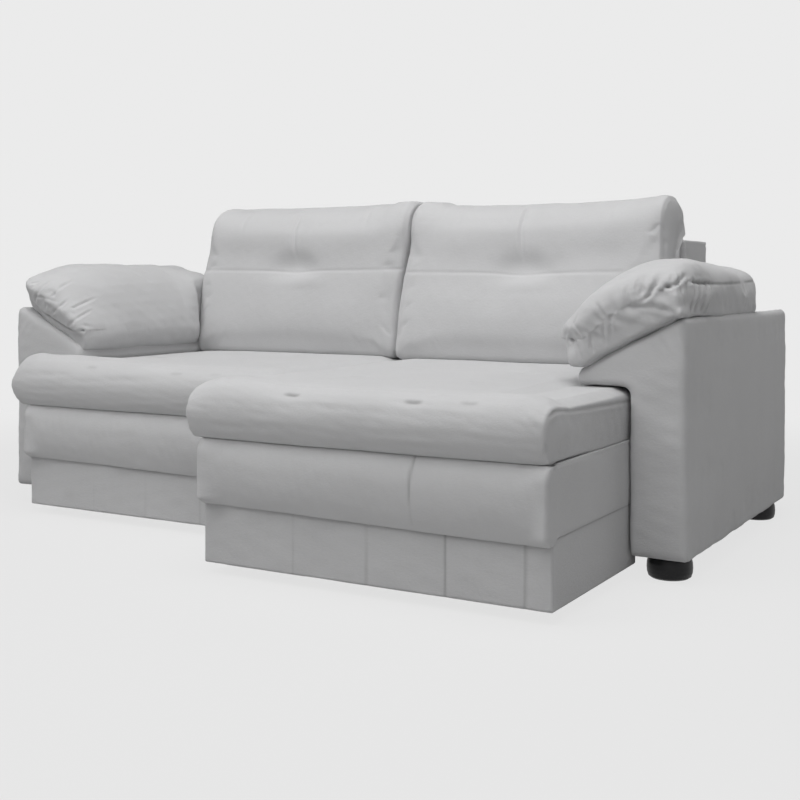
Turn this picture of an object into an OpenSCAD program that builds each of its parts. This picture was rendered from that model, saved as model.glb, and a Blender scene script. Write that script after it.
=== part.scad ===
// Two-seat sofa whose two seats roll forward out of a fixed frame, one by one.
// Millimetres. Seen from the front, x runs to the right, y to the back and z up from the floor.

/* [Overall] */
// Width over both arms
sofa_w = 2200; // [1900:10:2600]
// Depth of the arms and of the fixed frame
arm_d = 1008; // [985:1:1080]
// How far the right seat stands pulled out
right_pull = 335; // [0:5:360]
// Longest travel of a seat
seat_travel = 365; // [340:5:365]

/* [Arms] */
// Thickness of an arm below its overhang
arm_t = 140; // [110:5:200]
// Height of the underside of an arm, which is the height of the feet
foot_h = 55; // [45:1:58]
// Height of the outer top edge of an arm
arm_top = 636; // [600:1:690]
// How far the overhang reaches in past the arm
ear_reach = 117; // [80:1:140]
// Height of the overhang's tip, from its underside up
ear_tip_h = 44; // [32:1:50]
// Gap between the overhang and the end of the seat cushion under it
ear_gap = 12; // [11:0.5:18]
// Padding and fabric of the covers
skin_t = 12; // [8:1:16]
// Rounding of the arm's edges
arm_round = 20; // [8:1:30]
// Rounding of the tip of the overhang
tip_round = 12; // [3:1:15]
// Diameter of a bun foot
foot_dia = 110; // [80:1:130]

/* [Arm pads] */
// How far a pad stands proud of the arm's front
pad_proud = 22; // [5:1:40]
// Gap between a pad and the padded back frame behind it
pad_back_gap = 28; // [5:1:120]
// Height of the pad's crown over the arm's outer top edge
pad_rise = 126; // [90:1:160]
// How far the pad's nose hangs in past the overhang
pad_nose = 60; // [30:1:75]

/* [Seats] */
// How far a closed seat's skirt stands ahead of the arms
seat_lead = 108; // [60:1:140]
// How far the cushion overhangs the skirt
cushion_lip = 42; // [25:1:60]
// Height of the skirt's hem
skirt_z = 27; // [22:1:34]
// Height at which the padded band starts
band_z = 181; // [175:1:190]
// Underside of the cushion
cushion_z = 333; // [325:1:338]
// Height of the cushion at its ends
cushion_end_h = 112; // [95:1:114]
// Extra height at the cushion's crown
cushion_crown = 18; // [8:1:18]
// Gap between a seat and what stands beside it
seat_gap = 5; // [3:0.5:10]
// Set-back of the skirt at the seat's left end
skirt_inset = 45; // [25:1:60]
// Set-back of the padded band at the seat's left end
band_inset = 30; // [20:1:40]
// How far the padded band stands proud of the skirt
band_proud = 16; // [8:1:24]
// Thickness of the skirt's padded cloth
skirt_t = 8; // [4:1:10]
// Boards of the seat frame
board_t = 18; // [15:1:22]

/* [Back] */
// Top of the padded back frame
back_top = 833; // [800:1:880]
// Gap between the padded back frame and the arms' tops under it
back_gap = 3; // [1:0.5:15]
// Thickness of the padded back frame
back_t = 220; // [180:1:240]
// How far the padded back frame reaches out over the arms' overhangs
back_lap = 14; // [0:1:40]
// Top of the back cushions at their corners
back_cushion_top = 978; // [940:1:1040]
// Thickness of a back cushion near its foot
back_cushion_t = 214; // [180:1:240]
// How far the back cushions' ends stay in from the overhangs' tips
back_side_gap = 7; // [5:1:40]
// How far the right back cushion has slipped forward at its foot
right_slump = 52; // [0:1:60]

/* [Wheels and rails] */
// Diameter of a front wheel
wheel_dia = 50; // [40:1:52]
// Width of a front wheel
wheel_w = 22; // [16:1:28]
// Diameter of a rear roller
roller_dia = 34; // [28:1:38]
// Width of a rear roller
roller_w = 14; // [10:1:16]
// Height of the rear rollers' axle
roller_z = 125; // [115:1:126]
// Diameter of all axles
axle_dia = 8; // [6:0.5:9]
// Radial running clearance of a wheel on its axle
axle_play = 0.05; // [0.02:0.01:0.1]
// Thickness of the rails' steel
rail_t = 2.5; // [2:0.5:3]

/* [Hidden] */
$fn = 48;

LEFT = -1;
RIGHT = 1;

// Clearances and small shared sizes
cut = 1;                // overrun of every cut
joint_gap = 0.2;        // glue line between two boards
soft_gap = 0.5;         // clearance beside and under a soft piece
bolt_play = 0.3;        // radial clearance of a bolt in its hole

// Colours
cloth_colour = [0.74, 0.74, 0.75];
shade_colour = [0.66, 0.66, 0.67];
timber_colour = [0.80, 0.66, 0.46];
ply_colour = [0.76, 0.60, 0.40];
steel_colour = [0.55, 0.56, 0.58];
black_colour = [0.06, 0.06, 0.06];
web_colour = [0.25, 0.25, 0.27];

// Places that follow from the sizes above. The arms' front stands at y = 0 until the part is centred.
half_w = sofa_w / 2;
arm_in = half_w - arm_t;
seat_w = arm_in - seat_gap;
seat_front = -(seat_lead + cushion_lip);
centre_y = (arm_d + seat_front - right_pull) / 2;
ear_under_z = cushion_z + cushion_end_h + ear_gap;
ear_tip_z = ear_under_z + ear_tip_h;
ear_tip_x = arm_in - ear_reach;
arm_slope = (arm_top - ear_tip_z) / (half_w - ear_tip_x);
slope_skin = skin_t * sqrt(1 + arm_slope * arm_slope);
back_face = arm_d - back_t;
back_half_w = ear_tip_x + back_lap;
back_cushion_w = ear_tip_x - back_side_gap;
lower_puff = 9;         // swell of a back cushion's lower half

function slope_z(x) = ear_tip_z + (x - ear_tip_x) * arm_slope;

back_under = slope_z(back_half_w) + back_gap;

// Shape helpers

function unit2(v) = v / norm(v);

// Points of a corner at b, between a and c, rounded to radius r in n steps
function corner(a, b, c, r, n) = let (
    u = unit2(a - b), v = unit2(c - b), half = acos(u * v) / 2,
    mid = unit2(u + v), o = b + mid * (r / sin(half)),
    turn = u[0] * v[1] - u[1] * v[0] < 0 ? -1 : 1,
    start = atan2(-mid[1], -mid[0]) - turn * (-90 + half))
    [for (i = [0:n]) let (t = start + turn * (2 * half - 180) * i / n) o + r * [cos(t), sin(t)]];

// Outline through points [x, z, radius], each corner rounded
function rounded(p, n = 5) = [for (i = [0:len(p) - 1]) let (
    m = len(p), a = p[(i + m - 1) % m], b = p[i], c = p[(i + 1) % m])
    each (b[2] > 0 ? corner([a[0], a[1]], [b[0], b[1]], [c[0], c[1]], b[2], n) : [[b[0], b[1]]])];

// Smooth closed curve of n points through the points p
function closed_curve(p, n) = [for (k = [0:n - 1]) let (
    m = len(p), t = k * m / n, i = floor(t), f = t - i,
    a = p[(i + m - 1) % m], b = p[i], c = p[(i + 1) % m], d = p[(i + 2) % m])
    (2 * b + (c - a) * f + (2 * a - 5 * b + 4 * c - d) * f * f
    + (3 * b - a - 3 * c + d) * f * f * f) / 2];

function mean(p) = [for (k = [0:2]) [for (q = p) q[k]] * [for (q = p) 1] / len(p)];
function within(v, low, high) = max(low, min(high, v));
// Bump of height 1 at c that fades out at c - w and c + w
function bump(v, c, w) = abs(v - c) < w ? (1 + cos(180 * (v - c) / w)) / 2 : 0;

// Closed solid through rings of points, each end closed by a fan
module loft(rings) {
    n = len(rings[0]);
    m = len(rings);
    points = [for (r = rings) each r, mean(rings[0]), mean(rings[m - 1])];
    walls = [for (j = [0:m - 2]) for (i = [0:n - 1])
        let (a = j * n + i, b = j * n + (i + 1) % n) each [[a, b, a + n], [b, b + n, a + n]]];
    ends = [for (i = [0:n - 1]) let (b = (i + 1) % n)
        each [[i, m * n, b], [(m - 1) * n + i, (m - 1) * n + b, m * n + 1]]];
    polyhedron(points, concat(walls, ends));
}

module block(low, high) {
    translate(low) cube(high - low);
}

// A rod along x, from x0 to x1
module x_rod(x0, x1, y, z, r) {
    translate([x0, y, z]) rotate([0, 90, 0]) cylinder(h = x1 - x0, r = r);
}

module z_rod(x, y, z0, z1, r) {
    translate([x, y, z0]) cylinder(h = z1 - z0, r = r);
}

// Places every fixed piece
module fixed() {
    translate([0, -centre_y, 0]) children();
}

// Draws a piece of the right arm, or its mirror image for the left arm
module arm(side) {
    fixed() mirror([side == LEFT ? 1 : 0, 0, 0]) children();
}

// Places a piece of a seat, which is drawn closed, with its left end at x = 0
module seat(side) {
    translate([side == LEFT ? -seat_w : 0, (side == LEFT ? 0 : -right_pull) - centre_y, 0])
        children();
}

// Arms

cavity_top_z = slope_z(half_w - skin_t) - slope_skin;
cavity_tip_z = slope_z(ear_tip_x + skin_t) - slope_skin;
bolt_r = 4;
bolt_hole_r = bolt_r + bolt_play;
panel_t = 15;           // plywood panels inside the arm
batten_h = 40;          // battens along the arm
batten_w = 40;
batten_in = arm_in + skin_t;
beam_t = 40;
beam_low = 62;
beam_high = 150;
beam_gap = 3;           // between a closed seat and the rear beam
rear_panel_t = 19.8;
rear_beam_y = arm_d - rear_panel_t - joint_gap - beam_t;
seat_rear = rear_beam_y - beam_gap;
roller_in = 55;         // from a seat's rear end to the rollers' axle
roller_y = seat_rear - roller_in;
end_plate_t = 3;        // plates that close the ends of the rails
screw_r = 2.5;
screw_head_r = 5;
screw_head_t = 2;
stop_gap = 1;           // from a rubber stop to a roller at the end of its travel
stop_l = 42;            // length of the front stops
rail_y0 = roller_y - seat_travel - roller_dia / 2 - stop_gap - stop_l - screw_head_t - end_plate_t;
rail_y1 = rear_beam_y;
middle_y = rail_y0 - beam_t;        // front of the middle beam
bolt_edge = 20;         // from a bolt's middle to the beam's edge
bolt_z = [beam_low + bolt_edge, beam_high - bolt_edge];
bolt_y = [middle_y + beam_t / 2, rear_beam_y + beam_t / 2];
bolt_len = 70;
bolt_head_r = 8;
bolt_head_t = 5;
foot_front = 90;        // from a foot's middle to the arm's front
foot_rear = 78;
foot_y = [foot_front, arm_d - foot_rear];
foot_x = half_w - arm_t / 2;

module arm_outline() {
    polygon(rounded([[half_w, foot_h, 0], [half_w, arm_top, arm_round],
        [ear_tip_x, ear_tip_z, tip_round], [ear_tip_x, ear_under_z, tip_round],
        [arm_in, ear_under_z, arm_round], [arm_in, foot_h, 0]]));
}

module arm_cavity() {
    polygon([[half_w - skin_t, foot_h + skin_t], [half_w - skin_t, cavity_top_z - arm_round / 2],
        [half_w - skin_t - arm_round / 2, cavity_top_z - arm_round / 2],
        [batten_in + arm_round, slope_z(batten_in + arm_round) - slope_skin],
        [batten_in + arm_round, ear_under_z - arm_round], [batten_in, ear_under_z - arm_round],
        [batten_in, foot_h + skin_t]]);
}

// Draws a flat outline upright, from y0 to y1
module upright(y0, y1) {
    translate([0, y1, 0]) rotate([90, 0, 0]) linear_extrude(y1 - y0) children();
}

module bolt_holes() {
    for (y = bolt_y) for (z = bolt_z)
        x_rod(arm_in - cut, batten_in + batten_w + cut, y, z, bolt_hole_r);
}

module arm_cover() {
    difference() {
        upright(0, arm_d) arm_outline();
        upright(skin_t, arm_d - skin_t) arm_cavity();
        bolt_holes();
        for (y = foot_y) z_rod(foot_x, y, foot_h - cut, foot_h + skin_t + cut, bolt_hole_r);
    }
}

panel_y = [skin_t, middle_y - panel_t - joint_gap, arm_d - skin_t - panel_t];

module arm_panels() {
    for (y = panel_y) upright(y, y + panel_t) arm_cavity();
}

// Battens run between the panels, in a front and a rear length
module arm_battens() {
    for (i = [0, 1]) {
        y0 = panel_y[i] + panel_t + joint_gap;
        y1 = panel_y[i + 1] - joint_gap;
        low = foot_h + skin_t;
        difference() {
            block([batten_in, y0, low], [half_w - skin_t, y1, beam_high + batten_h / 2]);
            block([batten_in + batten_w, y0 - cut, low + batten_h],
                [half_w - skin_t + cut, y1 + cut, beam_high + batten_h]);
            bolt_holes();
            for (y = bolt_y) x_rod(batten_in + batten_w, half_w, y, bolt_z[0], bolt_head_r + bolt_play);
            for (y = foot_y) z_rod(foot_x, y, low - cut, low + batten_h + cut, bolt_hole_r);
        }
        block([half_w - skin_t - batten_w, y0, cavity_top_z - batten_w * arm_slope - batten_h - arm_round],
            [half_w - skin_t, y1, cavity_top_z - batten_w * arm_slope - arm_round]);
        block([batten_in, y0, ear_under_z - arm_round - batten_h],
            [batten_in + batten_h / 2, y1, ear_under_z - arm_round]);
    }
}

module left_arm_cover() { color(shade_colour) arm(LEFT) arm_cover(); }
module right_arm_cover() { color(shade_colour) arm(RIGHT) arm_cover(); }
module left_arm_panels() { color(ply_colour) arm(LEFT) arm_panels(); }
module right_arm_panels() { color(ply_colour) arm(RIGHT) arm_panels(); }
module left_arm_rails() { color(timber_colour) arm(LEFT) arm_battens(); }
module right_arm_rails() { color(timber_colour) arm(RIGHT) arm_battens(); }

// Arm pads: a thick pillow whose underside lies on the arm's slope

pad_steps = 30;
pad_spans = 12;
pad_rear = back_face - pad_back_gap;
pad_x0 = ear_tip_x - pad_nose;
pad_w = half_w - pad_x0;
pad_z0 = ear_tip_z;
pad_h = arm_top + pad_rise - pad_z0;
pad_seat_x = ear_tip_x + tip_round;     // where the underside leaves the slope at the nose
// Round the pad from its outer foot over the crown to its nose, as shares of its width and height
pad_shares = [[0.985, 0.52], [1, 0.62], [0.995, 0.78], [0.93, 0.93], [0.78, 1], [0.58, 0.97],
    [0.36, 0.85], [0.16, 0.65], [0.03, 0.43], [0, 0.26], [0.05, 0.10]];
// Along the underside, as shares of the slope from the nose to the outer edge
under_shares = [0.06, 0.28, 0.52, 0.76, 0.96];
pad_curve = closed_curve(concat(
    [for (s = pad_shares) [pad_x0 + pad_w * s[0], pad_z0 + pad_h * s[1]]],
    [for (s = under_shares) let (x = pad_seat_x + (half_w - pad_seat_x) * s)
        [x, slope_z(x) + soft_gap]]), pad_steps);
pad_core_share = 0.55;
pad_core = [pad_x0 + pad_w * pad_core_share, pad_z0 + pad_h * pad_core_share];
// Rounding of the pad's ends: how long it is, and how much the section shrinks at the very end
pad_front_round = [84, 64];
pad_back_round = [48, 46];
pad_front_shares = [[0, 1], [0.07, 0.62], [0.24, 0.31], [0.55, 0.11], [1, 0.015]];
pad_back_shares = [[0, 1], [0.15, 0.52], [0.46, 0.2], [1, 0.04]];
pad_puff = 3;
pad_flush = 1;          // how far the pad stays inside the arm's outer face

// How far in the pad may reach: beside the back cushion it yields to the cushion's side
pad_yield = 80;
pad_yield_y = back_face - back_cushion_t - right_slump - lower_puff - pad_rear / pad_spans - pad_yield;
function pad_limit(y) = pad_x0 + (back_cushion_w + 3 * soft_gap - pad_x0)
    * (1 - cos(180 * within((y - pad_yield_y) / pad_yield, 0, 1))) / 2;

function pad_ring(y, shrink, puff) = [for (q = pad_curve) let (
    r = norm(q - pad_core), k = (r - shrink + puff) / r, p = pad_core + (q - pad_core) * k)
    [within(p[0], pad_limit(y), half_w - pad_flush), y,
        max(p[1], slope_z(max(p[0], pad_seat_x)) + soft_gap)]];

module arm_pad() {
    n = len(pad_back_shares) - 1;
    front = [for (e = pad_front_shares)
        [-pad_proud + pad_front_round[0] * e[0], pad_front_round[1] * e[1], 0]];
    middle = [for (k = [1:pad_spans - 1]) let (s = k / pad_spans) [pad_rear * s, 0, pad_puff * sin(180 * s)]];
    back = [for (i = [n:-1:0]) let (e = pad_back_shares[i])
        [pad_rear - pad_back_round[0] * e[0], pad_back_round[1] * e[1], 0]];
    loft([for (s = concat(front, middle, back)) pad_ring(s[0], s[1], s[2])]);
}

module left_arm_pad() { color(cloth_colour) arm(LEFT) arm_pad(); }
module right_arm_pad() { color(cloth_colour) arm(RIGHT) arm_pad(); }

// Feet, with the bolts that hold them

foot_bolt_in = 18;      // how deep a bolt sits in its foot
foot_bolt_short = 4;    // how far its top stays inside the batten
foot_bolt_up = foot_h + skin_t + batten_h - foot_bolt_short;
// Side view of a foot from its middle out and up, as shares of its radius and height
foot_shares = [[0, 0], [0.82, 0], [0.93, 0.08], [0.985, 0.25], [1, 0.45], [0.985, 0.68], [0.94, 0.86],
    [0.86, 1], [0, 1]];

module bun_foot() {
    difference() {
        rotate_extrude() polygon([for (s = foot_shares) [s[0] * foot_dia / 2, s[1] * foot_h]]);
        z_rod(0, 0, foot_h - foot_bolt_in, foot_h + cut, bolt_hole_r);
    }
}

module bun_feet() {
    color(black_colour) for (side = [LEFT, RIGHT]) arm(side)
        for (y = foot_y) translate([foot_x, y, 0]) bun_foot();
}

module foot_bolts() {
    color(steel_colour) for (side = [LEFT, RIGHT]) arm(side)
        for (y = foot_y) z_rod(foot_x, y, foot_h - foot_bolt_in, foot_bolt_up, bolt_r);
}

// Cross beams, their bolts and legs

leg_r = 18;

module beam(y) {
    difference() {
        block([-arm_in, y, beam_low], [arm_in, y + beam_t, beam_high]);
        for (side = [LEFT, RIGHT]) for (z = bolt_z) mirror([side == LEFT ? 1 : 0, 0, 0])
            x_rod(arm_in - bolt_len, arm_in + cut, y + beam_t / 2, z, bolt_hole_r);
    }
}

module middle_beam() { color(timber_colour) fixed() beam(middle_y); }
module rear_beam() { color(timber_colour) fixed() beam(rear_beam_y); }

module frame_bolts() {
    end = batten_in + batten_w;
    color(steel_colour) for (side = [LEFT, RIGHT]) arm(side) for (y = bolt_y) for (z = bolt_z) {
        x_rod(arm_in - bolt_len, end + cut, y, z, bolt_r);
        x_rod(end, end + bolt_head_t, y, z, bolt_head_r);
    }
}

module centre_legs() {
    color(black_colour) fixed() for (y = [middle_y, rear_beam_y])
        z_rod(0, y + beam_t / 2, 0, beam_low, leg_r);
}

// Back frame

post_w = 40;
post_shares = [-1, -0.33, 0.33, 1];
post_span = back_half_w - skin_t - post_w;
post_x = post_span * post_shares;
web_t = 2;
web_w = 60;
back_straps = 9;
seat_straps = 8;
back_board_t = 18;
back_in = back_half_w - skin_t;
back_y0 = back_face + skin_t + web_t;
back_y1 = rear_beam_y + beam_t;

module back_posts() {
    color(timber_colour) fixed() for (x = post_x)
        block([x - post_w / 2, rear_beam_y, beam_high],
            [x + post_w / 2, back_y1, back_top - skin_t - back_board_t - joint_gap]);
}

module back_boards() {
    top = back_top - skin_t;
    color(ply_colour) fixed() {
        block([-back_in, back_y0, top - back_board_t], [back_in, back_y1, top]);
        block([-back_in, back_y0, back_under], [back_in, rear_beam_y - joint_gap, back_under + back_board_t]);
        for (z = [back_under + back_board_t + joint_gap, top - back_board_t - joint_gap - post_w])
            block([-back_in, back_y0, z], [back_in, back_y0 + back_board_t, z + post_w]);
    }
}

module back_webbing() {
    span = 2 * (back_in - web_w);
    color(web_colour) fixed() for (i = [0:back_straps - 1])
        translate([-span / 2 + span * i / (back_straps - 1), 0, 0])
        block([-web_w / 2, back_y0 - web_t, back_under + back_board_t],
            [web_w / 2, back_y0, back_top - skin_t - back_board_t]);
}

module back_cover() {
    color(shade_colour) fixed() difference() {
        block([-back_half_w, back_face, back_under], [back_half_w, arm_d, back_top]);
        block([-back_in, back_face + skin_t, back_under - cut], [back_in, arm_d - skin_t, back_top - skin_t]);
    }
}

module rear_panel() {
    narrow = ear_tip_x - seat_gap;
    wide = arm_in - soft_gap;
    color(shade_colour) fixed() upright(back_y1 + joint_gap, arm_d)
        polygon([[-wide, foot_h], [wide, foot_h], [wide, ear_under_z - arm_round],
            [narrow, ear_under_z - arm_round], [narrow, back_under - joint_gap],
            [-narrow, back_under - joint_gap], [-narrow, ear_under_z - arm_round],
            [-wide, ear_under_z - arm_round]]);
}

// Back cushions

back_steps = 32;
back_foot = cushion_z + cushion_end_h + cushion_crown + soft_gap;
back_h = back_cushion_top - back_foot;
back_rear = 40;         // how far the cushion's top leans back over the frame
back_span = back_cushion_t + back_rear;
// Side view from the foot's rear, round the front and over the top, as shares of depth and height
back_shares = [[0.80, 0.0], [0.45, 0.0], [0.12, 0.0], [0.005, 0.09], [0.01, 0.24], [0.05, 0.40],
    [0.085, 0.50], [0.13, 0.535], [0.115, 0.58], [0.16, 0.72], [0.25, 0.85], [0.40, 0.95],
    [0.62, 1.0], [0.84, 0.965], [0.985, 0.86], [0.96, 0.76], [0.895, 0.70], [0.895, 0.40],
    [0.895, 0.10]];
back_curve = closed_curve(back_shares, back_steps);
back_spans = 10;
// Rounding of the cushion's ends: how long it is, and how much the section shrinks at the very end
back_end_round = [18, 30];
back_end_shares = [[0, 1], [0.33, 0.43], [1, 0.13]];
// Middle and half height of the lower and upper swell, the tufted channel and the seam over the tuft
lower_shares = [0.24, 0.3];
upper_shares = [0.78, 0.24];
channel_shares = [0.535, 0.12];
seam_shares = [0.74, 0.2];
upper_puff = 6;
tuft_depth = 14;
tuft_w = 190;
seam_depth = 5;
dip_top = 22;           // how far the top sags between its corners
rest_z = back_top - back_foot + 2 * soft_gap;   // where the cushion clears the back frame's top
lean_step = 26;         // how much higher it starts to lean back over it

function back_ring(x, shrink) = let (s = 2 * x / back_cushion_w - 1, calm = 1 - pow(s, 4))
    [for (q = back_curve) let (
        y = back_span * q[0], z = back_h * q[1],
        front = within(1 - 2 * q[0], 0, 1),
        puff = calm * (lower_puff * bump(q[1], lower_shares[0], lower_shares[1])
            + upper_puff * bump(q[1], upper_shares[0], upper_shares[1])),
        off = x - back_cushion_w / 2,
        tuft = tuft_depth * bump(off, 0, tuft_w) * bump(q[1], channel_shares[0], channel_shares[1]),
        seam = seam_depth * bump(off, 0, tuft_w / 2) * bump(q[1], seam_shares[0], seam_shares[1]),
        ky = 1 - shrink / (back_span / 2), kz = 1 - shrink / (back_h / 2),
        yy = back_span / 2 + (y + front * (tuft + seam - puff) - back_span / 2) * ky,
        zz = back_h / 2 + (z - dip_top * calm * within(2 * q[1] - 1, 0, 1) - back_h / 2) * kz)
        [x, min(yy, back_cushion_t + within(zz - rest_z - lean_step, 0, back_rear)), within(zz, 0, back_h)]];

module back_cushion() {
    n = len(back_end_shares) - 1;
    near = [for (e = back_end_shares) [back_end_round[0] * e[0], back_end_round[1] * e[1]]];
    far = [for (i = [n:-1:0]) [back_cushion_w - near[i][0], near[i][1]]];
    middle = [for (k = [1:back_spans - 1]) [back_cushion_w * k / back_spans, 0]];
    loft([for (s = concat(near, middle, far)) back_ring(s[0], s[1])]);
}

// Stands a back cushion on the seat, against the back frame, its foot slipped forward by slump
module back_place(x, slump) {
    lean = asin(slump / back_h);
    fixed() translate([x, back_face - joint_gap - back_cushion_t, back_foot])
        translate([0, back_cushion_t, rest_z]) rotate([-lean, 0, 0])
            translate([0, -back_cushion_t, -rest_z]) children();
}

module left_back_cushion() {
    color(cloth_colour) back_place(-back_cushion_w - soft_gap * 2, 0) back_cushion();
}

module right_back_cushion() {
    color(cloth_colour) back_place(soft_gap * 2, right_slump) back_cushion();
}

// Fixed rails for the rear rollers: steel channels between the two beams

rail_left = 150;        // from a seat's left end to the middle of its left channel
rail_right = 105;       // the same at its right end
rail_at = [rail_left, seat_w - rail_right];
channel_w = 22;
roller_play = 0.3;      // over and under a roller in its channel
channel_in = roller_dia / 2 + roller_play;
channel_out = channel_in + rail_t;
stop_w = 12;

// Draws a piece at both rails of a seat, the open side of the channel towards the seat's middle
module both_rails(side) {
    translate([side == LEFT ? -seat_w : 0, 0, 0]) {
        translate([rail_at[0], 0, 0]) children();
        translate([rail_at[1], 0, 0]) mirror([1, 0, 0]) children();
    }
}

module rail() {
    difference() {
        block([-channel_w / 2, rail_y0, roller_z - channel_out],
            [channel_w / 2, rail_y1, roller_z + channel_out]);
        block([-channel_w / 2 + rail_t, rail_y0 + end_plate_t, roller_z - channel_in],
            [channel_w / 2 + cut, rail_y1 - end_plate_t, roller_z + channel_in]);
        for (y = [rail_y0, rail_y1]) translate([0, y, roller_z]) rotate([90, 0, 0])
            cylinder(h = 2 * end_plate_t + cut, r = screw_r + bolt_play, center = true);
    }
}

module left_rails() { color(steel_colour) fixed() both_rails(LEFT) rail(); }
module right_rails() { color(steel_colour) fixed() both_rails(RIGHT) rail(); }

// Rubber stops in the ends of the channels
module rail_stops() {
    r = roller_dia / 2;
    stop_x = -channel_w / 2 + rail_t;
    color(black_colour) fixed() for (side = [LEFT, RIGHT]) both_rails(side) {
        block([stop_x, rail_y0 + end_plate_t + screw_head_t, roller_z - r],
            [stop_x + stop_w, rail_y0 + end_plate_t + screw_head_t + stop_l, roller_z + r]);
        block([stop_x, roller_y + r + stop_gap, roller_z - r],
            [stop_x + stop_w, rail_y1 - end_plate_t - screw_head_t, roller_z + r]);
    }
}

// Screws that hold the channels' end plates to the beams
module rail_screws() {
    color(steel_colour) fixed() for (side = [LEFT, RIGHT]) both_rails(side) {
        translate([0, rail_y0 + end_plate_t, roller_z]) rotate([-90, 0, 0])
            cylinder(h = screw_head_t, r = screw_head_r);
        translate([0, rail_y0 + joint_gap, roller_z]) rotate([-90, 0, 0])
            cylinder(h = end_plate_t, r = screw_r);
        translate([0, rail_y1 - end_plate_t - screw_head_t, roller_z]) rotate([-90, 0, 0])
            cylinder(h = screw_head_t, r = screw_head_r);
        translate([0, rail_y1 - end_plate_t - joint_gap, roller_z]) rotate([-90, 0, 0])
            cylinder(h = end_plate_t, r = screw_r);
    }
}

// Seats, drawn closed with the left end at x = 0

skirt_y = -seat_lead;
frame_x0 = skirt_inset + skirt_t;
frame_x1 = seat_w - skirt_t;
frame_y0 = skirt_y + skirt_t;
rear_lip = 15;          // how far the cushion reaches past the frame at the back
frame_y1 = seat_rear - rear_lip;
hem_tuck = 6;           // how far the skirt hangs below the boards
frame_low = skirt_z + hem_tuck;
deck_t = 3;
frame_top = cushion_z - deck_t - web_t;
board_up = 9;           // how far the rear half's boards start above the band's underside
frame_mid = band_z + board_up;
skirt_gap = 20;         // between a closed seat's skirt and the middle beam
skirt_rear = middle_y - skirt_gap;
block_w = 60;
strap_in = 2;           // how far straps and deck stay inside the boards' outer faces
wheel_back = 152;       // how far a wheel's axle stands behind the skirt's front
wheel_y = skirt_y + wheel_back;

module seat_front_board() {
    block([frame_x0, frame_y0, frame_low], [frame_x1, frame_y0 + board_t, frame_top]);
}

module seat_side_boards() {
    y0 = frame_y0 + board_t + joint_gap;
    for (x = [frame_x0, frame_x1 - board_t]) difference() {
        block([x, y0, frame_low], [x + board_t, frame_y1, frame_top]);
        block([x - cut, skirt_rear, frame_low - cut], [x + board_t + cut, frame_y1 + cut, frame_mid]);
    }
}

module seat_cross_boards() {
    x0 = frame_x0 + board_t + joint_gap;
    x1 = frame_x1 - board_t - joint_gap;
    block([x0, frame_y1 - board_t, frame_mid], [x1, frame_y1, frame_top]);
    block([x0, middle_y - board_t, frame_top - block_w], [x1, middle_y, frame_top]);
}

wheel_head = 14;        // from a wheel's top to the block over it
block_low = wheel_dia + wheel_head;

module corner_blocks() {
    y0 = frame_y0 + board_t + joint_gap;
    for (x = [frame_x0 + board_t + joint_gap, frame_x1 - board_t - joint_gap - block_w])
        block([x, y0, block_low], [x + block_w, wheel_y + block_w / 2, band_z]);
}

// Straps across the frame
module seat_webbing() {
    y0 = frame_y0 + web_w;
    pitch = (frame_y1 - web_w - y0) / (seat_straps - 1);
    for (i = [0:seat_straps - 1])
        block([frame_x0 + strap_in, y0 + i * pitch - web_w / 2, frame_top],
            [frame_x1 - strap_in, y0 + i * pitch + web_w / 2, frame_top + web_t]);
}

module seat_deck() {
    block([frame_x0 + strap_in, frame_y0 + strap_in, frame_top + web_t],
        [frame_x1 - strap_in, frame_y1 - strap_in, cushion_z]);
}

// The skirt: padded cloth round the front and both sides, its hem below the boards
module seat_skirt() {
    difference() {
        block([skirt_inset, skirt_y, skirt_z], [seat_w, skirt_rear, band_z]);
        block([frame_x0, frame_y0, skirt_z - cut], [frame_x1, skirt_rear + cut, band_z + cut]);
    }
}

// The padded band: a roll round the front and both sides
band_shares = [[0, 0], [0.55, 0], [0.88, 0.05], [1, 0.16], [1, 0.5], [1, 0.84], [0.86, 0.95],
    [0.5, 1], [0, 1]];
band_h = frame_top - band_z - joint_gap;
band_left_t = frame_x0 - band_inset;
band_front_t = skirt_t + band_proud;
band_right_t = skirt_t;
band_puff = 6;
band_spans = 6;
band_corner_share = 0.8;

// One ring of the band: base point, outward direction and thickness
function band_ring(b, dir, t) = [for (s = band_shares)
    [b[0] + dir[0] * s[0] * t, b[1] + dir[1] * s[0] * t, band_z + band_h * s[1]]];

module seat_band() {
    x0 = frame_x0;
    x1 = frame_x1;
    y0 = frame_y0;
    loft(concat(
        [band_ring([x0, frame_y1], [-1, 0], band_left_t)],
        [band_ring([x0, middle_y], [-1, 0], band_left_t)],
        [band_ring([x0, y0 + board_t], [-1, 0], band_left_t)],
        [band_ring([x0, y0], [-band_left_t, -band_front_t], band_corner_share)],
        [for (k = [1:band_spans - 1]) let (s = k / band_spans) band_ring([x0 + (x1 - x0) * s, y0], [0, -1],
            band_front_t + band_puff * sin(180 * s))],
        [band_ring([x1 - board_t, y0], [0, -1], band_front_t)],
        [band_ring([x1, y0], [band_right_t, -band_front_t], band_corner_share)],
        [band_ring([x1, y0 + board_t], [1, 0], band_right_t)],
        [band_ring([x1, middle_y], [1, 0], band_right_t)],
        [band_ring([x1, frame_y1], [1, 0], band_right_t)]));
}

// The cushion, a long roll-fronted pad
cushion_steps = 36;
cushion_d = seat_rear - seat_front;
cushion_w = seat_w - 2 * soft_gap;
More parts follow.
